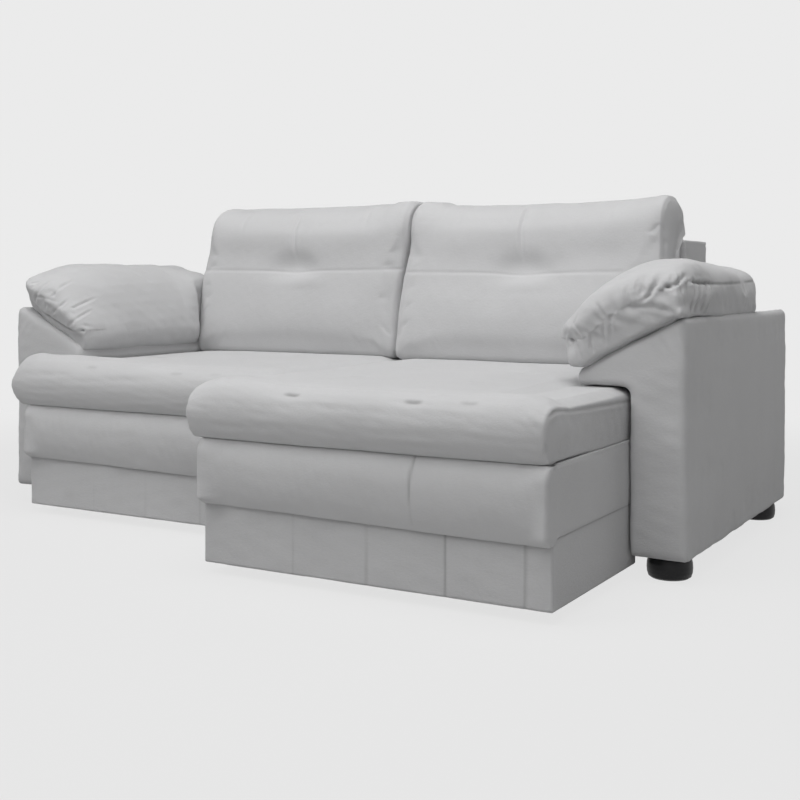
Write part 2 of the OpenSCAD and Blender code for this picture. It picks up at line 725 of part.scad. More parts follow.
// Side view from the rear foot forward, round the front and back over the top
cushion_shares = [[1, 0.05], [0.85, 0], [0.65, 0], [0.45, 0], [0.25, 0], [0.07, 0], [0.012, 0.10],
    [0, 0.38], [0.003, 0.68], [0.022, 0.90], [0.07, 0.985], [0.18, 1], [0.34, 1], [0.5, 1],
    [0.66, 1], [0.82, 0.99], [0.95, 0.95], [1, 0.80], [1, 0.40]];
cushion_curve = closed_curve(cushion_shares, cushion_steps);
cushion_spans = 8;
// Rounding of the cushion's ends: how long it is, and how much the section shrinks at the very end
cushion_end_round = [16, 16];
cushion_end_shares = [[0, 1], [0.31, 0.44], [1, 0.125]];
end_flat_share = 0.7;   // how much of that shrinking the height takes
cushion_pull = 6;       // how far the ends are drawn in between their corners
corner_draw = 9;        // how far the front's corners are drawn back
corner_share = 0.083;   // how much of the depth they take

function cushion_ring(x, shrink, end) = let (
    s = 2 * x / cushion_w - 1, calm = 1 - s * s, high = cushion_end_h + cushion_crown)
    [for (q = cushion_curve) let (
        h = cushion_end_h + cushion_crown * calm * (1 - pow(2 * within(q[0], 0, 1) - 1, 6)),
        y = seat_front + cushion_d * within(q[0], 0, 1)
            + corner_draw * s * s * (1 - within(q[0] / corner_share, 0, 1)),
        z = within(q[1], 0, 1) * h,
        yc = seat_front + cushion_d / 2,
        yy = yc + (y - yc) * (1 - shrink / (cushion_d / 2)),
        zz = high / 2 + (z - high / 2) * (1 - shrink * end_flat_share / (high / 2)))
        [soft_gap + x + end * cushion_pull * 4 * q[0] * (1 - q[0]), yy, cushion_z + within(zz, 0, high)]];

module seat_cushion() {
    n = len(cushion_end_shares) - 1;
    near = [for (e = cushion_end_shares) [cushion_end_round[0] * e[0], cushion_end_round[1] * e[1], 1]];
    far = [for (i = [n:-1:0]) [cushion_w - near[i][0], near[i][1], -1]];
    middle = [for (k = [1:cushion_spans - 1]) [cushion_w * k / cushion_spans, 0, 0]];
    loft([for (s = concat(near, middle, far)) cushion_ring(s[0], s[1], s[2])]);
}

// Front wheels in their forks
wheel_r = wheel_dia / 2;
axle_r = axle_dia / 2;
wheel_x = [frame_x0 + board_t + joint_gap + block_w / 2, frame_x1 - board_t - joint_gap - block_w / 2];
cheek_t = 2.5;
cheek_gap = 1;
cheek_w = 30;
fork_in = wheel_w / 2 + cheek_gap;
plate_in = 5;           // how far a fork's plate stays inside its block
// Side view of a wheel from one face to the other, as shares of its radius and width
wheel_shares = [[0, 0], [0.9, 0], [1, 0.14], [1, 0.86], [0.9, 1], [0, 1]];

module wheel_forks() {
    for (x = wheel_x) translate([x, wheel_y, 0]) {
        block([-fork_in - cheek_t, -block_w / 2 + plate_in, block_low - cheek_t],
            [fork_in + cheek_t, block_w / 2 - plate_in, block_low]);
        for (s = [-1, 1]) difference() {
            block([s * (fork_in + cheek_t / 2) - cheek_t / 2, -cheek_w / 2, wheel_r / 2],
                [s * (fork_in + cheek_t / 2) + cheek_t / 2, cheek_w / 2, block_low - cheek_t / 2]);
            x_rod(-fork_in - cheek_t - cut, fork_in + cheek_t + cut, 0, wheel_r, axle_r);
        }
    }
}

module front_wheels() {
    for (x = wheel_x) difference() {
        translate([x - wheel_w / 2, wheel_y, wheel_r]) rotate([0, 90, 0]) rotate_extrude()
            polygon([for (s = wheel_shares) [s[0] * wheel_r, s[1] * wheel_w]]);
        x_rod(x - wheel_w, x + wheel_w, wheel_y, wheel_r, axle_r + axle_play);
    }
}

// Rear rollers on their brackets
bracket_t = 3;
bracket_x = channel_w / 2 + bracket_t;      // face of the bracket beside the channel
bracket_w = 40;
bracket_h = 60;         // how far the bracket reaches up the rear board
bracket_up = 5;         // where its flat part starts on the board

module roller_bracket() {
    y1 = frame_y1 - board_t;
    difference() {
        block([bracket_x, roller_y - bracket_w / 2, roller_z - channel_in],
            [bracket_x + bracket_t, y1, frame_mid + bracket_h]);
        x_rod(bracket_x - cut, bracket_x + bracket_t + cut, roller_y, roller_z, axle_r);
    }
    block([bracket_x + bracket_t / 2, y1 - bracket_t, frame_mid + bracket_up],
        [bracket_x + bracket_w, y1, frame_mid + bracket_h]);
}

module roller() {
    difference() {
        x_rod(-roller_w / 2, roller_w / 2, roller_y, roller_z, roller_dia / 2);
        x_rod(-roller_w, roller_w, roller_y, roller_z, axle_r + axle_play);
    }
}

// Draws a piece at both rollers of a seat
module both_rollers() {
    translate([rail_at[0], 0, 0]) children();
    translate([rail_at[1], 0, 0]) mirror([1, 0, 0]) children();
}

axle_head_t = 2;
axle_head_lip = 2.5;
axle_head_r = axle_r + axle_head_lip;
axle_end = 1;           // how far a roller's axle stands out of it

module seat_axles() {
    for (x = wheel_x) {
        x_rod(x - fork_in - cheek_t, x + fork_in + cheek_t, wheel_y, wheel_r, axle_r);
        for (s = [-fork_in - cheek_t - axle_head_t, fork_in + cheek_t])
            x_rod(x + s, x + s + axle_head_t, wheel_y, wheel_r, axle_head_r);
    }
    both_rollers() {
        x_rod(-roller_w / 2 - axle_end, bracket_x + bracket_t, roller_y, roller_z, axle_r);
        x_rod(bracket_x + bracket_t, bracket_x + bracket_t + axle_head_t, roller_y, roller_z, axle_head_r);
    }
}

plate_screw_gap = 1.5;  // between a fork's cheek and the screws beside it
bracket_screw_x = bracket_x + bracket_t + (bracket_w - bracket_t) / 2;
bracket_screw_share = 0.25;

// Heads of the screws that hold the forks' plates and the brackets
module seat_screws() {
    for (x = wheel_x) for (s = [-1, 1])
        translate([x, wheel_y + s * (cheek_w / 2 + screw_r + plate_screw_gap),
            block_low - cheek_t - screw_head_t / 2])
            cylinder(h = screw_head_t / 2, r = screw_r);
    both_rollers() for (s = [bracket_screw_share, 1 - bracket_screw_share])
        translate([bracket_screw_x, frame_y1 - board_t - bracket_t - screw_head_t, frame_mid + bracket_h * s])
            rotate([-90, 0, 0]) cylinder(h = screw_head_t, r = screw_head_r);
}

module left_seat_cushion() { color(cloth_colour) seat(LEFT) seat_cushion(); }
module left_seat_band() { color(cloth_colour) seat(LEFT) seat_band(); }
module left_seat_skirt() { color(shade_colour) seat(LEFT) seat_skirt(); }
module left_seat_deck() { color(web_colour) seat(LEFT) seat_deck(); }
module left_seat_webbing() { color(web_colour) seat(LEFT) seat_webbing(); }
module left_seat_front_board() { color(ply_colour) seat(LEFT) seat_front_board(); }
module left_seat_side_boards() { color(ply_colour) seat(LEFT) seat_side_boards(); }
module left_seat_cross_boards() { color(timber_colour) seat(LEFT) seat_cross_boards(); }
module left_corner_blocks() { color(timber_colour) seat(LEFT) corner_blocks(); }
module left_wheel_forks() { color(steel_colour) seat(LEFT) wheel_forks(); }
module left_roller_brackets() { color(steel_colour) seat(LEFT) both_rollers() roller_bracket(); }
module left_axles() { color(steel_colour) seat(LEFT) seat_axles(); }
module left_front_wheels() { color(black_colour) seat(LEFT) front_wheels(); }
module left_rear_rollers() { color(black_colour) seat(LEFT) both_rollers() roller(); }
module left_seat_screws() { color(steel_colour) seat(LEFT) seat_screws(); }
module right_seat_cushion() { color(cloth_colour) seat(RIGHT) seat_cushion(); }
module right_seat_band() { color(cloth_colour) seat(RIGHT) seat_band(); }
module right_seat_skirt() { color(shade_colour) seat(RIGHT) seat_skirt(); }
module right_seat_deck() { color(web_colour) seat(RIGHT) seat_deck(); }
module right_seat_webbing() { color(web_colour) seat(RIGHT) seat_webbing(); }
module right_seat_front_board() { color(ply_colour) seat(RIGHT) seat_front_board(); }
module right_seat_side_boards() { color(ply_colour) seat(RIGHT) seat_side_boards(); }
module right_seat_cross_boards() { color(timber_colour) seat(RIGHT) seat_cross_boards(); }
module right_corner_blocks() { color(timber_colour) seat(RIGHT) corner_blocks(); }
module right_wheel_forks() { color(steel_colour) seat(RIGHT) wheel_forks(); }
module right_roller_brackets() { color(steel_colour) seat(RIGHT) both_rollers() roller_bracket(); }
module right_axles() { color(steel_colour) seat(RIGHT) seat_axles(); }
module right_front_wheels() { color(black_colour) seat(RIGHT) front_wheels(); }
module right_rear_rollers() { color(black_colour) seat(RIGHT) both_rollers() roller(); }
module right_seat_screws() { color(steel_colour) seat(RIGHT) seat_screws(); }

left_arm_cover();
right_arm_cover();
left_arm_panels();
right_arm_panels();
left_arm_rails();
right_arm_rails();
left_arm_pad();
right_arm_pad();
bun_feet();
foot_bolts();
middle_beam();
rear_beam();
frame_bolts();
centre_legs();
back_posts();
back_boards();
back_webbing();
back_cover();
rear_panel();
left_back_cushion();
right_back_cushion();
left_rails();
right_rails();
rail_stops();
rail_screws();
left_seat_cushion();
left_seat_band();
left_seat_skirt();
left_seat_deck();
left_seat_webbing();
left_seat_front_board();
left_seat_side_boards();
left_seat_cross_boards();
left_corner_blocks();
left_wheel_forks();
left_roller_brackets();
left_axles();
left_front_wheels();
left_rear_rollers();
left_seat_screws();
right_seat_cushion();
right_seat_band();
right_seat_skirt();
right_seat_deck();
right_seat_webbing();
right_seat_front_board();
right_seat_side_boards();
right_seat_cross_boards();
right_corner_blocks();
right_wheel_forks();
right_roller_brackets();
right_axles();
right_front_wheels();
right_rear_rollers();
right_seat_screws();
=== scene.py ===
"""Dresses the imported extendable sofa: cloth, stuffing, wood, steel, plastic and a plain studio."""

import math
from types import SimpleNamespace

import bpy
import numpy as np
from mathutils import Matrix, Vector


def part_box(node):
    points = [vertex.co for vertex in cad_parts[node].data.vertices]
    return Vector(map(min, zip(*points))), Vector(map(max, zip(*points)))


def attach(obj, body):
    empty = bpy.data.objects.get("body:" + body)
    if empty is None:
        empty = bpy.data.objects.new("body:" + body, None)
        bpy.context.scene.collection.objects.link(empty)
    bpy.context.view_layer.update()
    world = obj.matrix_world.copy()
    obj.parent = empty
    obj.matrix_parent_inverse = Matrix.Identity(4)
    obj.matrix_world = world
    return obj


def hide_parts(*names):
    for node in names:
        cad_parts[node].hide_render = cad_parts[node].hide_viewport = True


bl_info = {
    "name": "Extendable sofa",
    "version": (1, 0, 0),
    "blender": (4, 5, 0),
    "location": "View3D > Sidebar > Sofa",
    "description": "Dresses the frame of a sofa whose seats pull out",
    "category": "Object",
}

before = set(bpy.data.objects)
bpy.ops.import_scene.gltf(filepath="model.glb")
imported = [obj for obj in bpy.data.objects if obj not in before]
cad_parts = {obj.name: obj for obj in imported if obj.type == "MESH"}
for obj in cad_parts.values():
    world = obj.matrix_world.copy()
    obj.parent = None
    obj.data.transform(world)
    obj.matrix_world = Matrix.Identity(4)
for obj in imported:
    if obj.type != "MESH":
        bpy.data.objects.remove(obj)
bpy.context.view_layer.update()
SIDES = {"left": -1, "right": 1}

# Grain of the soft pieces' first meshes, in metres
FINE, MIDDLE, BROAD = 0.006, 0.007, 0.008


class SofaSizes(bpy.types.PropertyGroup):
    """Sizes of the soft pieces, in metres."""

    ear_tip: bpy.props.FloatProperty(
        name="Overhang tip", description="Height of the arms' overhanging tips", default=0.501, unit="LENGTH")
    ear_under: bpy.props.FloatProperty(
        name="Overhang underside", description="Height of the overhangs' undersides", default=0.457,
        unit="LENGTH")
    arm_inner: bpy.props.FloatProperty(
        name="Arm's inner face", description="From the sofa's middle to an arm's inner face",
        default=0.96, unit="LENGTH")
    arm_shoulder: bpy.props.FloatProperty(
        name="Arm shoulder", description="Height of the arms' outer top edges", default=0.636, unit="LENGTH")
    swell: bpy.props.FloatProperty(
        name="Swell", description="The most that stuffing pushes a cushion's cloth out", default=0.006,
        unit="LENGTH")
    seam_width: bpy.props.FloatProperty(
        name="Seam width", description="Half width of a sewn seam's groove", default=0.004, unit="LENGTH")
    seam_depth: bpy.props.FloatProperty(
        name="Seam depth", description="Depth of a sewn seam's groove", default=0.002, unit="LENGTH")


class SofaFinish(bpy.types.PropertyGroup):
    """Colours and finishes."""

    cloth: bpy.props.FloatVectorProperty(
        name="Cloth", description="Colour of the cloth", default=(0.56, 0.56, 0.565), size=3,
        subtype="COLOR")
    thread_pitch: bpy.props.FloatProperty(
        name="Thread pitch", description="Distance between the cloth's threads", default=0.0014,
        unit="LENGTH")
    timber: bpy.props.FloatVectorProperty(
        name="Timber", description="Colour of the beams and posts", default=(0.56, 0.38, 0.21), size=3,
        subtype="COLOR")
    plywood: bpy.props.FloatVectorProperty(
        name="Plywood", description="Colour of the boards", default=(0.60, 0.43, 0.26), size=3,
        subtype="COLOR")
    feet: bpy.props.FloatVectorProperty(
        name="Feet", description="Colour of the moulded feet", default=(0.012, 0.012, 0.013), size=3,
        subtype="COLOR")


class SofaStudio(bpy.types.PropertyGroup):
    """Camera, lamps and background."""

    camera_place: bpy.props.FloatVectorProperty(
        name="Camera place", description="Where the camera stands", default=(1.929, -3.0145, 0.715), size=3,
        subtype="XYZ")
    camera_turn: bpy.props.FloatProperty(
        name="Camera turn", description="How far the camera turns to the left", default=math.radians(30.13),
        subtype="ANGLE")
    lens: bpy.props.FloatProperty(name="Lens", description="Focal length in millimetres", default=54.405)
    shift: bpy.props.FloatProperty(name="Shift", description="Vertical shift of the camera", default=-0.1505)
    backdrop: bpy.props.FloatProperty(
        name="Backdrop", description="Brightness of the background", default=0.83, min=0.0, max=1.0)
    ambient: bpy.props.FloatProperty(
        name="Ambient", description="Light from all round", default=0.02, min=0.0)
    top: bpy.props.FloatProperty(
        name="Top lamp", description="Power of the lamp overhead in watts", default=146.0)
    key: bpy.props.FloatProperty(
        name="Key lamp", description="Power of the lamp at the left in watts", default=104.0)
    fill: bpy.props.FloatProperty(
        name="Fill lamp", description="Power of the lamp at the front right in watts", default=50.0)
    rim: bpy.props.FloatProperty(
        name="Rim lamp", description="Power of the lamp at the right rear in watts", default=11.0)


def sizes():
    return bpy.context.scene.sofa_sizes


def finish():
    return bpy.context.scene.sofa_finish


# Meshes


def new_piece(name, points, faces):
    """A mesh object from points and faces, in the frame's own axes."""
    mesh = bpy.data.meshes.new(name)
    mesh.from_pydata([tuple(p) for p in points], [], [tuple(f) for f in faces])
    mesh.validate()
    piece = bpy.data.objects.new(name, mesh)
    bpy.context.scene.collection.objects.link(piece)
    return piece


def read_points(mesh, what):
    """One vector for each vertex of a mesh, as rows."""
    values = np.empty(len(mesh.vertices) * 3, np.float32)
    mesh.vertices.foreach_get(what, values)
    return values.reshape(-1, 3).astype(float)


def places(piece):
    """The piece's vertices as an array."""
    return read_points(piece.data, "co")


def normals(piece):
    """The directions in which the piece's vertices face, as an array."""
    return read_points(piece.data, "normal")


def move_to(piece, co):
    piece.data.vertices.foreach_set("co", np.asarray(co, np.float32).ravel())
    piece.data.update()


def bake(piece):
    """Puts the piece's modifiers into its mesh."""
    graph = bpy.context.evaluated_depsgraph_get()
    mesh = bpy.data.meshes.new_from_object(piece.evaluated_get(graph))
    old = piece.data
    piece.modifiers.clear()
    piece.data = mesh
    bpy.data.meshes.remove(old)


def remesh(piece, size, rounds):
    """Even quads of one size, with edges rounded by a few rounds of smoothing."""
    step = piece.modifiers.new("even", "REMESH")
    step.mode = "VOXEL"
    step.voxel_size = size
    even_out = piece.modifiers.new("round", "SMOOTH")
    even_out.factor = 0.5
    even_out.iterations = rounds
    bake(piece)


def refine(piece):
    """Splits each face in four on a smooth surface."""
    step = piece.modifiers.new("refine", "SUBSURF")
    step.levels = 1
    step.render_levels = 1
    bake(piece)


def closed_curve(points, count):
    """Smooth closed curve of count points through the points."""
    p = np.array(points, float)
    m = len(p)
    t = np.arange(count) * m / count
    i = t.astype(int)
    f = (t - i)[:, None]
    a, b, c, d = p[(i - 1) % m], p[i % m], p[(i + 1) % m], p[(i + 2) % m]
    return (2 * b + (c - a) * f + (2 * a - 5 * b + 4 * c - d) * f**2 + (3 * b - a - 3 * c + d) * f**3) / 2


def loft(name, rings, hubs=None):
    """A closed solid through rings of points, each end closed by a fan round its hub."""
    rings = np.asarray(rings, float)
    m, n = rings.shape[:2]
    if hubs is None:
        hubs = (rings[0].mean(0), rings[-1].mean(0))
    points = np.vstack([rings.reshape(-1, 3), hubs])
    faces = []
    for j in range(m - 1):
        for i in range(n):
            k = (i + 1) % n
            faces.append((j * n + i, j * n + k, (j + 1) * n + k, (j + 1) * n + i))
    for i in range(n):
        k = (i + 1) % n
        faces.append((m * n, k, i))
        faces.append((m * n + 1, (m - 1) * n + i, (m - 1) * n + k))
    piece = new_piece(name, points, faces)
    if signed_volume(piece) < 0:
        piece.data.flip_normals()
    return piece


def softened(corners, radii, steps=6):
    """An outline whose corners are turned in curves that start a radius from each corner."""
    p = np.array(corners, float)
    out = []
    for i, (corner, r) in enumerate(zip(p, radii)):
        before, after = p[i - 1] - corner, p[(i + 1) % len(p)] - corner
        a = corner + before / np.linalg.norm(before) * r
        b = corner + after / np.linalg.norm(after) * r
        for t in np.linspace(0, 1, steps):
            out.append((1 - t) ** 2 * a + 2 * t * (1 - t) * corner + t**2 * b)
    return np.array(out)


def drawn_in(outline, amount):
    """The outline moved inwards by an amount."""
    along = np.roll(outline, -1, 0) - np.roll(outline, 1, 0)
    out = np.column_stack([along[:, 1], -along[:, 0]]) / np.linalg.norm(along, axis=1)[:, None]
    x, z = outline.T
    area = np.sum(x * np.roll(z, -1) - np.roll(x, -1) * z)
    return outline - np.sign(area) * out * amount


def signed_volume(piece):
    co = places(piece)
    piece.data.calc_loop_triangles()
    tri = np.array([t.vertices for t in piece.data.loop_triangles])
    a, b, c = co[tri[:, 0]], co[tri[:, 1]], co[tri[:, 2]]
    return float(np.einsum("ij,ij->i", a, np.cross(b, c)).sum() / 6)


def smooth_shade(piece):
    piece.data.polygons.foreach_set("use_smooth", [True] * len(piece.data.polygons))
    piece.data.update()


# Shape fields


def bump(v, middle, width):
    """Height 1 at middle, fading to 0 at width on each side."""
    t = np.clip(np.abs(v - middle) / width, 0, 1)
    return (1 + np.cos(np.pi * t)) / 2


def bell(v, width):
    """Height 1 at 0, with long soft tails that are nearly 0 at two widths on each side."""
    return np.exp(-((v / width) ** 2))


def step_up(v, low, high):
    """Height 0 below low, rising smoothly to 1 at high."""
    t = np.clip((v - low) / (high - low), 0, 1)
    return t * t * (3 - 2 * t)


def step_down(v, low, high):
    """Height 1 below low, falling smoothly to 0 at high."""
    return 1 - step_up(v, low, high)


def ripple(co, wave, seed, stretch=(1, 1, 1), count=14):
    """Smooth, uneven waves of about one length, between about -1 and 1."""
    rng = np.random.default_rng(seed)
    total = np.zeros(len(co))
    for _ in range(count):
        way = rng.normal(size=3) * np.array(stretch)
        way *= 2 * np.pi / wave / max(1e-6, np.linalg.norm(way)) * rng.uniform(0.5, 1.6)
        total += np.sin(co @ way + rng.uniform(0, 2 * np.pi))
    return total / math.sqrt(count)


def along_path(co, path):
    """Distance to a path, length along it at the nearest point, and that nearest point."""
    path = np.asarray(path, float)
    best = np.full(len(co), 1e9)
    run = np.zeros(len(co))
    foot = np.zeros((len(co), 3))
    start = 0.0
    for a, b in zip(path[:-1], path[1:]):
        ab = b - a
        length = np.linalg.norm(ab)
        t = np.clip((co - a) @ ab / (length * length), 0, 1)
        p = a + t[:, None] * ab
        d = np.linalg.norm(co - p, axis=1)
        near = d < best
        best[near] = d[near]
        run[near] = start + t[near] * length
        foot[near] = p[near]
        start += length
    return best, run, foot


def seam(co, path, width, depth):
    """A sewn groove along a path, with a slight lip at each side."""
    lip = 0.4
    d, _, _ = along_path(co, path)
    return depth * (-bell(d, width) + lip * bell(d - 2.4 * width, 1.3 * width))


def crease(co, path, width, depth, start=0.3, lip=0.45):
    """A fold along a path: a furrow between two soft ridges, fading at its ends."""
    d, run, _ = along_path(co, path)
    full = sum(np.linalg.norm(np.subtract(b, a)) for a, b in zip(path[:-1], path[1:]))
    t = np.clip(run / full, 0, 1)
    fade = step_up(t, -start, 0.15) * step_down(t, 0.55, 1.0) * (d < 6 * width)
    return depth * fade * (lip * bell(d - 2.2 * width, 1.5 * width) - bell(d, width))


def pleats(run, side, near, table, seed):
    """Gathers near a seam. Each row: place along it, which side, length, slant, width, depth."""
    rng = np.random.default_rng(seed)
    total = np.zeros(len(run))
    for place, which, length, slant, width, depth in table:
        v = side * which
        w = width * (1 + 0.9 * np.clip(v, 0, None) / length)
        off = (run - place - slant * v) / w
        bend = 0.25 * math.sin(rng.uniform(0, 6.3)) * np.clip(v, 0, None) / length
        fade = step_up(v, -0.002, 0.006) * step_down(v, 0.3 * length, length)
        furrow = 0.55 * bell(np.abs(off + bend) - 1.9, 1) - bell(off + bend, 1)
        total += depth * fade * furrow
    return total * near


def paint_shade(piece, mask):
    """Keeps a 0 to 1 mask of painted shade on the piece's points, which the cloth darkens."""
    layer = piece.data.attributes.new("seam", "FLOAT", "POINT")
    layer.data.foreach_set("value", np.clip(mask, 0, 1).astype(np.float32))


def stuffed(piece, cap):
    """Lets cloth swell under pressure, with no point moving further than cap."""
    frames = 20
    start = places(piece)
    step = piece.modifiers.new("cloth", "CLOTH")
    cloth = step.settings
    cloth.quality = 4
    cloth.mass = 0.25
    cloth.tension_stiffness = 12
    cloth.compression_stiffness = 12
    cloth.shear_stiffness = 6
    cloth.bending_stiffness = 0.4
    cloth.use_pressure = True
    cloth.uniform_pressure_force = 3.0
    cloth.effector_weights.gravity = 0
    step.collision_settings.use_collision = False
    step.collision_settings.use_self_collision = False
    scene = bpy.context.scene
    step.point_cache.frame_start = 1
    step.point_cache.frame_end = frames
    for number in range(1, frames + 1):
        scene.frame_set(number)
    graph = bpy.context.evaluated_depsgraph_get()
    moved = read_points(piece.evaluated_get(graph).data, "co") - start
    piece.modifiers.remove(step)
    scene.frame_set(1)
    far = np.linalg.norm(moved, axis=1)
    keep = cap * np.tanh(far / cap) / np.maximum(far, 1e-9)
    move_to(piece, start + moved * keep[:, None])


def push(piece, amount):
    """Moves the piece's points along their normals."""
    move_to(piece, places(piece) + normals(piece) * amount[:, None])


def hold_in(piece, low, high):
    """Keeps the piece between two corners."""
    move_to(piece, np.clip(places(piece), np.array(low), np.array(high)))


def settle(piece, node, body):
    """Gives a finished piece its cloth, hides the frame part it stands for and parents it to the body it
    rides on.
    """
    smooth_shade(piece)
    piece.data.materials.clear()
    piece.data.materials.append(cloth_material())
    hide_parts(node)
    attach(piece, body)


# Materials


def group_of(name, inputs, outputs):
    """A shader node group with its sockets, and its input and output nodes."""
    tree = bpy.data.node_groups.new(name, "ShaderNodeTree")
    for label, value in inputs:
        socket = tree.interface.new_socket(name=label, in_out="INPUT", socket_type="NodeSocketFloat")
        socket.default_value = value
    for label in outputs:
        tree.interface.new_socket(name=label, in_out="OUTPUT", socket_type="NodeSocketFloat")
    return tree, tree.nodes.new("NodeGroupInput"), tree.nodes.new("NodeGroupOutput")


def math_node(tree, kind, a, b=None):
    node = tree.nodes.new("ShaderNodeMath")
    node.operation = kind
    for i, value in enumerate((a, b)):
        if value is None:
            continue
        if isinstance(value, (int, float)):
            node.inputs[i].default_value = value
        else:
            tree.links.new(value, node.inputs[i])
    return node.outputs[0]


def noise_node(tree, vector, scale, detail=3.0, rough=0.5):
    node = tree.nodes.new("ShaderNodeTexNoise")
    node.inputs["Scale"].default_value = scale
    node.inputs["Detail"].default_value = detail
    node.inputs["Roughness"].default_value = rough
    tree.links.new(vector, node.inputs["Vector"])
    return node.outputs["Fac"]


def stretched(tree, vector, stretch):
    node = tree.nodes.new("ShaderNodeVectorMath")
    node.operation = "MULTIPLY"
    node.inputs[1].default_value = stretch
    tree.links.new(vector, node.inputs[0])
    return node.outputs[0]


def weave_group():
    """Plain weave of a thread pitch, seen along whichever axis the cloth faces."""
    if "plain_weave" in bpy.data.node_groups:
        return bpy.data.node_groups["plain_weave"]
    tree, given, result = group_of("plain_weave", [("Pitch", 0.0014)], ["Height", "Slub"])
    place = tree.nodes.new("ShaderNodeTexCoord")
    axes = tree.nodes.new("ShaderNodeSeparateXYZ")
    tree.links.new(place.outputs["Object"], axes.inputs[0])
    turn = math_node(tree, "DIVIDE", math.pi, given.outputs["Pitch"])
    waves = [math_node(tree, "SINE", math_node(tree, "MULTIPLY", axes.outputs[i], turn)) for i in range(3)]
    facing = tree.nodes.new("ShaderNodeNewGeometry")
    turned = tree.nodes.new("ShaderNodeSeparateXYZ")
    tree.links.new(facing.outputs["Normal"], turned.inputs[0])
    total = None
    for i in range(3):
        flat = math_node(tree, "MULTIPLY", waves[(i + 1) % 3], waves[(i + 2) % 3])
        share = math_node(tree, "POWER", math_node(tree, "ABSOLUTE", turned.outputs[i]), 4.0)
        part = math_node(tree, "MULTIPLY", flat, share)
        total = part if total is None else math_node(tree, "ADD", total, part)
    lifted = math_node(tree, "ADD", math_node(tree, "MULTIPLY", total, 0.5), 0.5)
    tree.links.new(lifted, result.inputs["Height"])
    long = stretched(tree, place.outputs["Object"], (90.0, 90.0, 600.0))
    tree.links.new(noise_node(tree, long, 1.0, 2.0), result.inputs["Slub"])
    return tree


def mottle_group():
    """Uneven tone of worn or brushed surfaces, broad and fine."""
    if "mottle" in bpy.data.node_groups:
        return bpy.data.node_groups["mottle"]
    tree, given, result = group_of("mottle", [("Scale", 6.0)], ["Broad", "Fine"])
    place = tree.nodes.new("ShaderNodeTexCoord")
    scaled = tree.nodes.new("ShaderNodeVectorMath")
    scaled.operation = "SCALE"
    tree.links.new(place.outputs["Object"], scaled.inputs[0])
    tree.links.new(given.outputs["Scale"], scaled.inputs["Scale"])
    tree.links.new(noise_node(tree, scaled.outputs[0], 1.0, 4.0, 0.55), result.inputs["Broad"])
    tree.links.new(noise_node(tree, scaled.outputs[0], 22.0, 4.0, 0.6), result.inputs["Fine"])
    return tree


def blank_material(name):
    material = bpy.data.materials.new(name)
    material.use_nodes = True
    tree = material.node_tree
    shader = next(n for n in tree.nodes if n.type == "BSDF_PRINCIPLED")
    return material, tree, shader


def place_group(tree, group, **values):
    node = tree.nodes.new("ShaderNodeGroup")
    node.node_tree = group
    for label, value in values.items():
        node.inputs[label].default_value = value
    return node


def mixed(tree, factor, dark, light):
    node = tree.nodes.new("ShaderNodeMix")
    node.data_type = "RGBA"
    node.inputs["A"].default_value = (*dark, 1)
    node.inputs["B"].default_value = (*light, 1)
    tree.links.new(factor, node.inputs["Factor"])
    return node.outputs["Result"]


def ranged(tree, value, low, high):
    node = tree.nodes.new("ShaderNodeMapRange")
    node.inputs["To Min"].default_value = low
    node.inputs["To Max"].default_value = high
    tree.links.new(value, node.inputs["Value"])
    return node.outputs["Result"]


def bumped(tree, shader, layers):
    """Stacks heights onto the shader's normal: each layer is (height, distance in metres)."""
    last = None
    for height, distance in layers:
        node = tree.nodes.new("ShaderNodeBump")
        node.inputs["Distance"].default_value = distance
        node.inputs["Strength"].default_value = 1.0
        tree.links.new(height, node.inputs["Height"])
        if last is not None:
            tree.links.new(last, node.inputs["Normal"])
        last = node.outputs["Normal"]
    tree.links.new(last, shader.inputs["Normal"])


def shade(colour, factor):
    return tuple(min(1.0, c * factor) for c in colour)


def cloth_material():
    """Matte microfibre cloth: a fine weave under a brushed nap, with painted shade from the points' seam
    mask.
    """
    if "sofa_cloth" in bpy.data.materials:
        return bpy.data.materials["sofa_cloth"]
    material, tree, shader = blank_material("sofa_cloth")
    colour = finish().cloth
    weave = place_group(tree, weave_group(), Pitch=finish().thread_pitch)
    tone = place_group(tree, mottle_group(), Scale=7.0)
    nap = math_node(tree, "ADD", math_node(tree, "MULTIPLY", tone.outputs["Broad"], 0.55),
                    math_node(tree, "MULTIPLY", weave.outputs["Slub"], 0.45))
    tone_of = mixed(tree, nap, shade(colour, 0.93), shade(colour, 1.06))
    # Painted shade: the seam mask darkens the cloth towards half its colour in seams, folds and under the
    # roll
    sewn = tree.nodes.new("ShaderNodeAttribute")
    sewn.attribute_name = "seam"
    painted_shade_mix = tree.nodes.new("ShaderNodeMix")
    painted_shade_mix.data_type = "RGBA"
    painted_shade_mix.inputs["B"].default_value = (*shade(colour, 0.5), 1)
    tree.links.new(math_node(tree, "MULTIPLY", sewn.outputs["Fac"], 0.75), painted_shade_mix.inputs["Factor"])
    tree.links.new(tone_of, painted_shade_mix.inputs["A"])
    tree.links.new(painted_shade_mix.outputs["Result"], shader.inputs["Base Color"])
    tree.links.new(ranged(tree, tone.outputs["Fine"], 0.82, 0.98), shader.inputs["Roughness"])
    shader.inputs["Specular IOR Level"].default_value = 0.18
    shader.inputs["Sheen Weight"].default_value = 0.12
    shader.inputs["Sheen Roughness"].default_value = 0.45
    bumped(tree, shader, [(weave.outputs["Height"], 0.00016), (tone.outputs["Fine"], 0.0006),
                          (weave.outputs["Slub"], 0.0002)])
    return material


